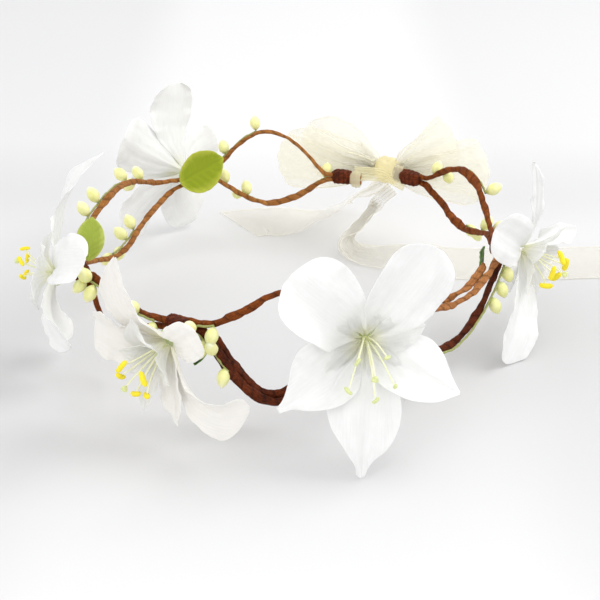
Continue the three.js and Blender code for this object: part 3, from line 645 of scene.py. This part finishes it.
LOW_FOLDED = dict(shape="spike", roll=(1.0, -0.4), fold=(0.2, 0.6), twist=-30)
NIPPED = dict(shape="point", roll=(-0.5, 0.9), fold=(0.1, 0.5))
FLOWERS = {
    "front": dict(
        face=-87, up=14,
        outer=petals(
            (57, 49, dict(width=31, roll=(0.8, -0.2), fold=(0.0, 0.5), open=(42, 64, 84))),
            (139, 43, dict(width=36, roll=(0.5, -0.7), fold=(0.15, 0.5), base=0.5, open=(42, 66, 88))),
            (214, 44, dict(width=28, shape="spike", roll=(0.7, -0.4), fold=(0.1, 0.6), base=0.1, frill=1.4)),
            (266, 54, LOW_FOLDED | dict(width=30, base=0.7, open=(42, 66, 100))),
            (328, 41, NIPPED | dict(width=29, base=0.3, frill=1.6, sweep=4, tilt=-12)),
            open=(42, 66, 90), seed=100,
        ),
        inner=petals(
            (98, 21, dict(roll=(0.6, 0.6), width=13)),
            (170, 24, dict(roll=(0.8, 0.4), twist=-15)),
            (226, 32, dict(roll=(0.9, 1.3), twist=14, width=15)),
            (302, 27, dict(roll=(0.5, 0.5), width=14, frill=1.2)),
            (18, 24, dict(roll=(0.4, 0.8), width=14, frill=1.4)),
            open=(50, 64, 84), seed=140,
        ),
        stamens=dict(droop=-0.95, anther=STIGMA, size=0.62, length=27),
    ),
    "front_left": dict(
        face=-128, up=-20, shift=2, cloth=PETAL_CREAM,
        outer=petals(
            (106, 50, dict(width=18, shape="blade", roll=(-0.3, -0.3), open=(58, 88, 88), sweep=-16)),
            (160, 29, dict(width=30, frill=1.4, base=0.5)),
            (298, 31, dict(width=15, shape="blade", roll=(0.8, 0.8), base=0.2, open=(42, 50, 62))),
            (314, 47, dict(width=21, shape="spoon", cup=1.0, open=(54, 76, 104), sweep=36, base=0.6, twist=-30)),
            (34, 26, dict(width=18, roll=(0.8, 0.8), open=(54, 84, 110))),
            open=(46, 70, 92), seed=200,
        ),
        inner=petals(
            (100, 24, dict(roll=(1.2, 1.2), width=15, open=(24, 60, 120))),
            (160, 18, dict(width=14)),
            (216, 18),
            (268, 28, dict(roll=(1.0, 1.0), width=10)),
            (346, 20),
            open=(22, 36, 58), seed=240,
        ),
        stamens=dict(droop=-0.25, anther=ANTHER, size=1.0, length=21),
    ),
    "left": dict(
        face=178, up=12, shift=2,
        outer=petals(
            (100, 55, dict(width=18, shape="point", roll=(0.4, 0.4), twist=22, open=(80, 96, 130))),
            (40, 34, dict(width=23, roll=(0.3, 0.8), open=(88, 116, 140))),
            (325, 34, dict(width=23, base=0.5, open=(88, 116, 140))),
            (262, 30, dict(width=22, base=0.2, open=(88, 112, 134))),
            (165, 33, dict(width=20, base=0.6, open=(72, 84, 88))),
            open=(78, 104, 124), seed=300,
        ),
        inner=petals((130, 18), (202, 19), (274, 18), (346, 19), (58, 18), open=(50, 80, 104), seed=340),
        stamens=dict(droop=0.25, anther=ANTHER, size=0.75, length=12),
    ),
    "back_left": dict(
        face=140, up=2,
        outer=petals(
            (102, 43, dict(width=29, roll=(0.5, 0.7))),
            (38, 38, dict(width=28, base=0.5)),
            (-44, 42, dict(width=24, base=0.1, roll=(0.8, 0.8))),
            (-120, 42, dict(width=29, base=0.6)),
            (176, 36, dict(width=26, base=0.3)),
            open=(50, 74, 96), seed=400,
        ),
        inner=petals((126, 27), (198, 25), (270, 27), (342, 28), (54, 26), open=(24, 42, 70), seed=440),
        stamens=dict(droop=-0.3, anther=ANTHER, size=1.0, length=22),
    ),
    "right": dict(
        face=-30, up=-18, shift=2,
        outer=petals(
            (92, 46, dict(width=13, shape="blade", roll=(0.7, 0.7), open=(84, 108, 98), sweep=14)),
            (147, 30, dict(width=23, roll=(0.6, 0.6), base=0.5, open=(74, 108, 140))),
            (222, 51, dict(width=24, base=0.35, tilt=28, open=((0.1, 50), (0.5, 68), (0.8, 72), (1, 96)))),
            (300, 29, dict(width=21, base=0.6)),
            (10, 28, dict(width=22, base=0.3, frill=1.8, tilt=50, open=(60, 80, 94))),
            open=(78, 106, 126), seed=500,
        ),
        inner=petals(
            (140, 20, dict(roll=(1.0, 1.0))),
            (212, 21),
            (284, 22),
            (356, 20),
            (68, 20, dict(roll=(1.2, 1.2))),
            open=(40, 54, 70), seed=540,
        ),
        stamens=dict(droop=-0.3, anther=ANTHER, size=1.1, length=17),
    ),
}


def make_petals(name, hub, axes):
    flower = FLOWERS[name]
    body = f"{name}_lily"
    for whorl, base, usual, material in (
        ("outer", 0.2, dict(root=2.6, width=29), flower.get("cloth", PETAL)),
        ("inner", 2.0, dict(root=1.4, width=11.5, shape="point", cup=0.6, frill=0.7), INNER),
    ):
        work = Patchwork()
        for row in flower[whorl]:
            spec = {**PLAIN_PETAL, **usual, **row}
            spec["base"] += base
            points, uv, mark = petal_surface(spec)
            points = hub + points @ axes
            points[..., 2] = np.maximum(points[..., 2], TABLE_CLEAR)
            work.grid(points, uv, mark)
        piece = work.object(f"{body}_{whorl}_petals_cloth", [material], solid=PETAL_CLOTH, levels=1)
        settle(piece, body, "petal", f"{body}_{whorl}_petals")


def make_stamens(name, hub, axes):
    """Curved filaments with dusty anthers round a pistil with a three-lobed end, on a small disc."""
    flower = FLOWERS[name]
    facts = flower["stamens"]
    body = f"{name}_lily"
    work = Patchwork()
    skyward = axes @ UP
    rng = np.random.default_rng(len(name) * 31)
    first = flower["outer"][0]["turn"]
    base = np.array((0, 0, 3.4))
    for k in range(6):
        pistil = k == 5
        turn = math.radians(first + 72 * k + rng.uniform(-10, 10))
        spread = 0.05 if pistil else 0.24 + rng.uniform(-0.04, 0.06)
        length = facts["length"] * (1.08 if pistil else rng.uniform(0.86, 1.02))
        aside = np.array((math.cos(turn), math.sin(turn), 0))
        foot = base + (0 if pistil else 0.9) * aside
        way = unit(spread * aside + UP)
        t = column(0, 1, 16)
        droop = facts["droop"] * (0.75 if pistil else rng.uniform(0.7, 1.1))
        path = foot + way * length * t + skyward * droop * length * 0.45 * t**2.2
        path = path + aside * (0 if pistil else 2.2) * t**3
        world = hub + path @ axes
        thick = column(0.42, 0.30, 16)
        work.tube(world, np.broadcast_to(thick, (16, 8)), 8, slot=0)
        end, along = world[-1], unit(world[-1] - world[-2])
        if pistil:
            tip = end + along * column(-0.6, 2.0, 12)
            r = np.interp(np.linspace(0, 1, 12), [0, 0.35, 0.75, 1], [0.3, 1.1, 1.35, 0.25])[:, None]
            lobes = 1 + 0.22 * np.cos(3 * ring_of(18))[None, :]
            work.tube(tip, r * lobes, 18, slot=2)
        else:
            side = unit(np.cross(along, rng.normal(size=3)))
            lean = unit(along * rng.uniform(0.1, 0.6) + side)
            half = 3.1 * facts["size"]
            t2 = column(-1, 1, 18)
            tip = end + lean * half * t2 - along * 0.5 * t2**2
            r = 1.15 * facts["size"] * np.sqrt(np.clip(1 - np.linspace(-1, 1, 18) ** 4, 0.02, 1))[:, None]
            ring = ring_of(16)[None, :]
            groove = 1 - 0.22 * np.exp(-((np.cos(ring) - 1) ** 2) / 0.02)
            work.tube(tip, r * groove * (1 + 0.06 * wobble(t2 * 10, k, 4)), 16, slot=1)
    ring = ring_of(20)
    d = column(0, 1, 8)
    r = 1.5 * np.sin(math.pi * 0.5 * (1 - d)) + 0.02
    disc = together(r * np.cos(ring), r * np.sin(ring), 2.9 + 1.2 * np.sin(math.pi * 0.5 * d))
    work.closed(hub + disc @ axes, np.zeros((8, 20, 2)), slot=2)
    piece = work.object(f"{body}_stamens_and_pistil", [FILAMENT, facts["anther"], STIGMA])
    settle(piece, body, "stamen", f"{body}_stamens")


# Radius and height of the calyx, from the stem to the rim.
CALYX = ((1.0, -5.0), (1.1, -4.4), (1.9, -3.9), (3.1, -3.0), (4.2, -1.7), (4.8, -0.7), (4.5, -0.3))


def make_calyx(name, hub, axes):
    """The ribbed cup behind the petals, and the taped wire stem that runs back towards the lashing."""
    body = f"{name}_lily"
    heights = column(0, len(CALYX) - 1, 26)
    r, z = (np.interp(heights, range(len(CALYX)), part) for part in zip(*CALYX))
    ring = ring_of(40)
    ribs = 0.07 * np.cos(5 * ring) + 0.025 * np.cos(15 * ring)
    lobed = r * (1 + ribs * smoothstep(-4.4, -1, z))
    rows = together(lobed * np.cos(ring), lobed * np.sin(ring), z)
    work = Patchwork()
    work.closed(hub + rows @ axes, np.zeros((*rows.shape[:2], 2)))
    stem = hub + column(-STEM_LENGTH - 0.9, -4.2, 14) * axes[2]
    work.tube(stem, 0.85, 12, slot=1)
    piece = work.object(f"{body}_calyx_and_stem", [GREEN, STALK])
    settle(piece, body, "calyx", f"{body}_calyx")


# ---- Leaves ----
LEAVES = {
    "back_left": dict(at=-241, lift=6, point=20, length=25, width=22, inside=6.2, swing=0, material=LEAF_ROUND),
    "left": dict(at=-160, lift=15, point=98, length=20, width=12, inside=5, swing=75, material=LEAF_PALE),
    "front_left": dict(at=-113.5, lift=-9, point=-80, length=20, width=9, inside=6.2, swing=0, material=LEAF_DARK),
    "right": dict(at=-4, lift=-7, point=80, length=18, width=10, inside=6.2, swing=0, material=LEAF_DARK),
}


def make_leaves():
    for name, leaf in LEAVES.items():
        outward = around(leaf["at"] + leaf["swing"], 1, 0)
        right = np.cross(outward, UP)
        middle = around(leaf["at"], HOOP_RADIUS - leaf["inside"], HOOP_HEIGHT + leaf["lift"])
        turn = math.radians(leaf["point"])
        along = right * math.cos(turn) + UP * math.sin(turn)
        across = np.cross(along, outward)
        v = column(0, 1, 32)
        u = np.linspace(-1, 1, 27)[None, :]
        half = 0.5 * leaf["width"] * np.maximum(np.sin(math.pi * v**0.9) ** 0.62, 0.03)
        point = smoothstep(0.86, 1.0, v)
        half = half * (1 - 0.35 * point)
        dish = 1.2 * (u**2 - 0.3) * np.sin(math.pi * v) - 0.5 * np.exp(-((u / 0.07) ** 2)) * (1 - 0.5 * v)
        side_veins = 0.13 * np.cos(2 * math.pi * (v * 7 - np.abs(u) * 1.6)) * np.minimum(np.abs(u) * 3, 1)
        ripple = 0.35 * wobble(v * 30, 5, 14) * u**2
        depth = -(dish + side_veins + ripple) + 1.2 * (v - 0.5) ** 2
        points = middle + together(leaf["length"] * (v - 0.5), half * u, depth) @ np.stack([along, across, outward])
        uv = together(half * u, v * leaf["length"]) / UV_CELL
        mark = np.maximum(np.abs(u) ** 1.5, np.abs(2 * v - 1) ** 3) + 0 * v
        work = Patchwork()
        work.grid(points, uv, mark)
        piece = work.object(f"leaf_{name}_cloth", [leaf["material"]], solid=LEAF_CLOTH, levels=1)
        settle(piece, "crown", "leaf", f"leaf_{name}")


# ---- Berry sprigs ----
# The eye and vine that a sprig lies beside, the shares of the eye that it runs between, and its pips: each one's
# share of the eye, and which way it points in degrees, 0 outwards and 90 up.
SPRIGS = {
    "left_front": (
        *("left_front", "upper", 0.12, 0.89),
        ((0.12, -150), (0.25, 110), (0.76, -100), (0.8, 90), (0.84, -60), (0.89, 100)),
    ),
    "left_back_upper": (
        *("left_back", "upper", 0.2, 0.72),
        ((0.24, 120), (0.31, 160), (0.58, 60), (0.65, -60), (0.72, 80)),
    ),
    "left_back_lower": ("left_back", "lower", 0.42, 0.62, ((0.42, -70), (0.5, -150), (0.55, 60), (0.62, 110))),
    "back_upper": ("back", "upper", 0.2, 0.42, ((0.22, 70), (0.42, 100))),
    "back_lower": ("back", "lower", 0.22, 0.9, ((0.22, 70), (0.3, -60), (0.36, 80), (0.88, 70))),
    "right_back_upper": ("right_back", "upper", 0.12, 0.6, ((0.12, 90), (0.2, -95), (0.6, 30))),
    "right_back_lower": ("right_back", "lower", 0.45, 0.8, ((0.45, -80), (0.52, -100), (0.62, 85), (0.8, 100))),
    "right_front": (
        *("right_front", "lower", 0.1, 0.74),
        ((0.115, -145), (0.172, -145), (0.23, -145), (0.64, -90), (0.7, -70)),
    ),
    "front": ("front", "lower", 0.7, 0.9, ((0.72, -100), (0.78, 80), (0.84, -60), (0.9, 90))),
}
PIP_REACH, PIP_RADIUS, PIP_LENGTH = 4.4, 2.55, 7.4  # PIP_REACH is from the wire to a pip's middle
TWIG = ("front", 0.9, 0.78)  # a sprig's branch over to its eye's upper vine, with a berry at its end


def pip(work, foot, way, reach, radius, length, seed):
    """One berry on its stalk: an egg with a faint nib, and seams where the foam was pressed."""
    way = unit(way)
    path = foot + way * column(0, reach - 0.35 * length, 8)
    work.tube(path, 0.42, 8, slot=1)
    t = np.linspace(0, 1, 18)
    rows = foot + way * (reach + length * (t - 0.5))[:, None]
    r = radius * np.sin(math.pi * np.clip(t, 0.012, 0.988)) ** 0.62 * (1.06 - 0.16 * t)
    ring = ring_of(20)[None, :]
    dents = 1 + 0.03 * np.cos(2 * ring + seed) + 0.02 * np.cos(5 * ring + 3 * t[:, None] + seed)
    work.tube(rows, r[:, None] * dents, 20, slot=0, mark=t[:, None])


def make_sprigs():
    aside = VINE_RADIUS + 1.1
    for k, (name, (eye, side, low, high, berries)) in enumerate(SPRIGS.items()):
        rng = np.random.default_rng(60 + k)

        def wire(t, side=side, eye=eye):
            p = vine_point(eye, side, np.asarray(t, float))
            return p + unit(p * (1, 1, 0)) * aside

        work = Patchwork()
        points = wire(np.linspace(low, high, 60))
        run = lengths(points)
        points[:, 2] += 0.3 * wobble(run, k, 12) * smoothstep(0, 3, run) * smoothstep(0, 3, run[-1] - run)
        work.tube(points, 0.5 + 0.06 * wobble(run, k, 3)[:, None] + np.zeros((1, 8)), 8, slot=1)
        feet = [(wire([at])[0], angle) for at, angle in berries]
        if name == TWIG[0]:
            near, far = TWIG[1:]
            path = spline([wire([near])[0], *wire(np.array([0.2, 0.6, 1]) * (far - near) + near, "upper")], 24)
            work.tube(path, 0.5, 8, slot=1)
            feet.append((path[-1], -90))
        for foot, angle in feet:
            outward = unit(foot * (1, 1, 0))
            a = math.radians(angle)
            way = outward * (math.cos(a) * 0.6 + 0.75) + UP * math.sin(a)
            size = rng.uniform(0.98, 1.12)
            pip(work, foot, way, PIP_REACH, PIP_RADIUS * size, PIP_LENGTH * size, rng.uniform(0, 6))
        piece = work.object(f"berries_{name}_sprig", [BERRY, STALK])
        settle(piece, "crown", "berry", f"berries_{name}")


# ---- Ribbon ----
BOW_ANGLE = 61
KNOT_OUT = 10
KNOT_DEEP, KNOT_HIGH, KNOT_LONG = 4.3, 7.0, 6.8  # half sizes
TIE_WIDTH = 6.2
TIE_CLOTH = 11
BOW_OUT = around(BOW_ANGLE, 1, 0)
BOW_LEFT = around(BOW_ANGLE + 90, 1, 0)
KNOT = around(BOW_ANGLE, HOOP_RADIUS + KNOT_OUT, HOOP_HEIGHT + 1)


# side, reach, rise, depth, lean and width of each loop: side is 1 for left, and depth is how far the cloth's two
# sides stand apart
LOOPS = {
    "left_upper": (1, 52, 3, 18, 0.1, 26),
    "left_lower": (1, 68, -6, 12, -0.1, 29),
    "right_upper": (-1, 32, 13, 18, 0.3, 28),
    "right_lower": (-1, 50, 3, 14, 0, 30),
}
LOOP_PLEATS = 4
LAID = 0.4  # the height of a tail's middle line where it lies on the table


def by_knot(left, out, above):
    return KNOT + BOW_LEFT * left + BOW_OUT * out + UP * above


def band(
    work, path, width_way, width, cloth_width, pleats, seed, shape=(90, 37), floor=None, slant=0.0, round_to=None
):
    """A ribbon along path. Where it is gathered narrower than the cloth, the rest stands up in pleats. shape is its
    points along and across, slant is how far its cut end is off square, and round_to is how far a loop's edges are
    drawn back from its far end."""
    rows, cols = shape
    points = spline(path, rows)
    run = lengths(points)[:, None]
    share = run / run[-1]
    tangent = unit(np.gradient(points, axis=0))
    w = np.array([width_way(s) for s in share[:, 0]])
    across = unit(w - tangent * np.sum(w * tangent, 1, keepdims=True))
    normal = np.cross(tangent, across)
    wide = np.array([width(s) for s in share[:, 0]])[:, None]
    a = column(-0.5, 0.5, cols).T
    squeeze = np.clip(wide / cloth_width, 0.1, 1)
    height = np.sqrt(np.clip(1 / squeeze**2 - 1, 0, 40)) * wide / (4 * pleats)
    fold = np.sin(2 * math.pi * pleats * a + 0.7 * seed)
    ripple = wobble(run, seed, 34) * np.sin(math.pi * a + 0.4) * 1.1 + wobble(run, seed + 4, 21) * a * 1.2
    loose = 1 - 0.75 * smoothstep(0.4, 0.8, squeeze)
    lift = np.minimum(height, 2.4) * loose * fold + ripple * smoothstep(0.0, 0.2, share)
    grid = points[:, None] + across[:, None] * (wide * a)[..., None] + normal[:, None] * lift[..., None]
    if round_to is not None:
        far = smoothstep(0.35, 1, 1 - np.abs(2 * share - 1))
        grid = grid + (far * (2 * a) ** 2)[..., None] * round_to
    if slant:
        grid = grid + tangent[:, None] * (slant * a * smoothstep(0.8, 1.0, share))[..., None]
    if floor is not None:
        wave = 0.5 + 0.5 * wobble(run, seed + 8, 45) * np.cos(2 * math.pi * a)
        grid[..., 2] = np.maximum(grid[..., 2], floor + 0.5 * wave)
    work.grid(grid, together(a * cloth_width, run) / UV_CELL, mark=np.abs(2 * a) + 0 * share)
    return run[-1, 0]


def bow_loop(side, reach, rise, depth, lean, width):
    near = side * 6.6
    path = [
        by_knot(near, -1.2, 0.5),
        by_knot(side * reach * 0.45, 2.5 - depth * 0.3, rise * 0.5),
        by_knot(side * reach * 0.85, 6 - depth * 0.3, rise * 0.95),
        by_knot(side * reach, 9, rise),
        by_knot(side * reach * 0.85, 8 + depth * 0.6, rise * 0.9),
        by_knot(side * reach * 0.45, 3 + depth * 0.6, rise * 0.4),
        by_knot(near, 1.2, -0.5),
    ]
    way = unit(UP + lean * BOW_LEFT)
    return path, lambda l: way, lambda l: lerp(8, width, math.sin(math.pi * min(max(l, 0), 1)) ** 0.7)


def declare_ribbon(piece, nodes):
    settle(piece, "crown", "ribbon", *nodes)


def make_ribbon():
    for k, (name, numbers) in enumerate(LOOPS.items()):
        path, way, width = bow_loop(*numbers)
        work = Patchwork()
        drawn_back = -7 * numbers[0] * BOW_LEFT
        length = band(work, path, way, width, RIBBON_WIDTH, LOOP_PLEATS, 70 + k, round_to=drawn_back)
        piece = work.object(f"bow_loop_{name}", [ORGANZA], solid=RIBBON_CLOTH, levels=1)
        nodes = [f"bow_loops_{name.split('_')[0]}"] if name.endswith("upper") else []
        declare_ribbon(piece, nodes)
    left_tail = [
        by_knot(4, 7.6, -5),
        by_knot(12, 16, -12),
        by_knot(27, 22, -26),
        around(84, 118, 3),
        around(91, 120, LAID),
        around(97, 121, LAID),
        around(103, 120, LAID),
    ]
    right_tail = [
        by_knot(-3, 0, -9.8),
        (45, 88, 25),
        (38, 86, 16),
        (30, 82, 7),
        (35, 76, 1),
        (54, 73, LAID),
        (84, 67, LAID),
        (115, 66, LAID),
        (172, 70, LAID),
    ]

    def tail(name, path, level, wide, slant, seed):
        """level and wide are the shares of its length where it turns flat and where it spreads to its width."""
        def way(l):
            return unit(lerp(UP, BOW_OUT, float(smoothstep(*level, l))))

        def width(l):
            return lerp(7, RIBBON_WIDTH, float(smoothstep(*wide, l)))

        work = Patchwork()
        rest = dict(shape=(120, 37), floor=TAIL_CLEAR, slant=slant)
        length = band(work, path, way, width, RIBBON_WIDTH, LOOP_PLEATS, seed, **rest)
        piece = work.object(f"ribbon_tail_{name}_cloth", [ORGANZA_TAIL], solid=RIBBON_CLOTH, levels=1)
        declare_ribbon(piece, [f"ribbon_tail_{name}"])

    tail("left", left_tail, (0.02, 0.28), (0, 0.45), 12, 81)
    tail("right", right_tail, (0.02, 0.12), (0.1, 0.42), -14, 82)


def make_knot():
    """The ribbon's own knot: a band drawn tight over itself, with folds that run across it."""
    work = Patchwork()
    t = column(0, math.pi, 30)
    ring = ring_of(64)[None, :]
    folds = 1 + 0.05 * np.cos(11 * ring + 1.5 * np.cos(t * 2)) + 0.03 * np.cos(23 * ring + 4 * t)
    pinch = 1 - 0.10 * np.exp(-((np.cos(t) / 0.25) ** 2))
    r = np.sin(t) ** 0.7 * folds * pinch
    local = together(r * np.cos(ring), r * np.sin(ring), -np.cos(t))
    axes = np.stack([KNOT_DEEP * BOW_OUT, KNOT_HIGH * UP, KNOT_LONG * BOW_LEFT])
    uv = together(ring / 2, t)
    work.closed(KNOT + local @ axes, uv)
    piece = work.object("bow_knot_cloth", [ORGANZA_KNOT])
    settle(piece, "crown", "ribbon", "bow_knot")


def make_tie():
    """The strap that goes from one end of the hoop to the other, with a turn round the stubs at each end."""
    work = Patchwork()
    right, left = LASHINGS["right_end"], LASHINGS["left_end"]
    ring_at = math.degrees(7.6 / HOOP_RADIUS)
    for place, way in ((right, 1), (left, -1)):
        angle = place["angle"] + way * ring_at
        outward = around(angle, 1, 0)
        tangent = np.cross(outward, UP)
        middle = around(angle, HOOP_RADIUS + way * LAY, HOOP_HEIGHT + place["lift"])
        turn = ring_of(40)[None, :]
        s = column(-2.6, 2.6, 14)
        folds = 1 + 0.06 * np.cos(3.6 * s + 2 * np.cos(turn)) - 0.22 * smoothstep(1.2, 2.6, np.abs(s))
        folds = folds + 0.035 * np.cos(9 * s + 3 * np.sin(turn))
        local = together(2.45 * np.cos(turn) * folds, 3.95 * np.sin(turn) * folds, s)
        points = middle + local @ np.stack([outward, UP, tangent])
        uv = together(turn, s / 3)
        work.grid(points, uv, close_u=True)
    ring_out = VINE_RADIUS + GAP + 0.4
    path = [
        around(right["angle"] + 3.6, HOOP_RADIUS + LAY + ring_out, HOOP_HEIGHT - 2),
        around(right["angle"] + 6, HOOP_RADIUS + LAY + ring_out, HOOP_HEIGHT - 1.5),
        around(BOW_ANGLE, HOOP_RADIUS + KNOT_OUT - 5.4, HOOP_HEIGHT),
        around(left["angle"] + 354, HOOP_RADIUS - LAY + ring_out, HOOP_HEIGHT + 0.8),
        around(left["angle"] + 356.4, HOOP_RADIUS - LAY + ring_out, HOOP_HEIGHT + 1),
    ]
    band(work, path, lambda l: UP, lambda l: TIE_WIDTH, TIE_CLOTH, 4, 95, shape=(70, 57))
    piece = work.object("ribbon_tie_cloth", [ORGANZA_TIE], solid=STRAP_CLOTH)
    settle(piece, "crown", "ribbon", "ribbon_tie")


# ---- The set ----
CAMERA_ELEVATION = math.radians(25.6)
CAMERA_DISTANCE = 0.65
CAMERA_AIM = Vector((0.0058, 0, 0.0123))
SENSOR = 36  # a film width in millimetres
PICTURE = 600  # pixels across
SCALE = 2.228  # pixels to a millimetre at the aim
FLOOR_REACH = 6.0
# The floor's painted light and shade from front to back, by its place along Y: brighter bands that lift the crown's
# cast shadows, and lighter ends front and back. Then how much of it is left far to either side, a painted shade
# towards the sides.
FLOOR_PAINTED_LIGHT = (
    *((0.0, 0.79), (0.2, 0.70), (0.32, 0.69), (0.44, 0.64)),
    *((0.58, 0.65), (0.7, 0.80), (0.82, 0.66), (1.0, 0.79)),
)
FLOOR_SIDE_SHADE = ((0.28, 1), (0.5, 0.91))
SKY = (0.99, 0.99, 1.0, 1)
SKY_STRENGTH = 1.03
# name, place, what it points at, size and power
LAMPS = (
    ("key", (0.85, 0.15, 1.0), (0, 0, 0.03), 0.9, 7.0),
    ("fill", (-0.5, -1.05, 0.62), (0, 0, 0.04), 1.2, 3.4),
)


def make_stage():
    s = Shader("floor_paper")
    where = s.mapped(source="Object")
    parts = s.add("SeparateXYZ", {"Vector": where})
    along = s.math("ADD", s.math("MULTIPLY", parts.outputs["Y"], 2.0), 0.5)
    aside = s.math("MULTIPLY", s.math("ABSOLUTE", parts.outputs["X"]), 4.0)
    cloud = s.noise(where, 3.0, 2)
    # painted light and shade on the floor: brighter bands that lift the crown's shadows, and painted shade towards
    # the sides
    colour = s.grey_ramp(along, *FLOOR_PAINTED_LIGHT, way="B_SPLINE")
    colour = s.mix(1.0, colour, s.grey_ramp(aside, *FLOOR_SIDE_SHADE, way="EASE"), "MULTIPLY")
    colour = s.mix(s.math("MULTIPLY", cloud, 0.06), colour, (0.56, 0.56, 0.60))
    floor_shader = s.add("BsdfPrincipled", {"Base Color": colour, "Roughness": 0.7})
    mesh = bpy.data.meshes.new("floor")
    corners = [(x * FLOOR_REACH, y * FLOOR_REACH, 0) for x, y in ((-1, -1), (1, -1), (1, 1), (-1, 1))]
    mesh.from_pydata(corners, [], [(0, 1, 2, 3)])
    mesh.materials.append(s.finish(floor_shader.outputs[0]))
    put_in_scene("floor", mesh)

    world = bpy.data.worlds.new("studio")
    bpy.context.scene.world = world
    world.use_nodes = True
    background = world.node_tree.nodes["Background"]
    background.inputs["Color"].default_value = SKY
    background.inputs["Strength"].default_value = SKY_STRENGTH

    for name, place, aim, size, power in LAMPS:
        light = bpy.data.lights.new(name, "AREA")
        light.shape = "DISK"
        light.size = size
        light.energy = power
        lamp = put_in_scene(name, light)
        lamp.location = place
        lamp.rotation_euler = (Vector(aim) - Vector(place)).to_track_quat("-Z", "Y").to_euler()


def make_camera():
    away = Vector((0, -math.cos(CAMERA_ELEVATION), math.sin(CAMERA_ELEVATION)))
    camera = bpy.data.cameras.new("camera")
    camera.sensor_width = SENSOR
    camera.lens = SENSOR * SCALE * CAMERA_DISTANCE / PICTURE / MM
    holder = put_in_scene("camera", camera)
    holder.location = CAMERA_AIM + CAMERA_DISTANCE * away
    holder.rotation_euler = (math.radians(90) - CAMERA_ELEVATION, 0, 0)
    bpy.context.scene.camera = holder
    bpy.context.scene.view_settings.view_transform = "Standard"


make_camera()
make_stage()
make_vines()
make_lashings()
for flower_name in FLOWERS:
    flower_hub, flower_axes = basis(flower_name)
    make_petals(flower_name, flower_hub, flower_axes)
    make_stamens(flower_name, flower_hub, flower_axes)
    make_calyx(flower_name, flower_hub, flower_axes)
make_leaves()
make_sprigs()
make_ribbon()
make_knot()
make_tie()
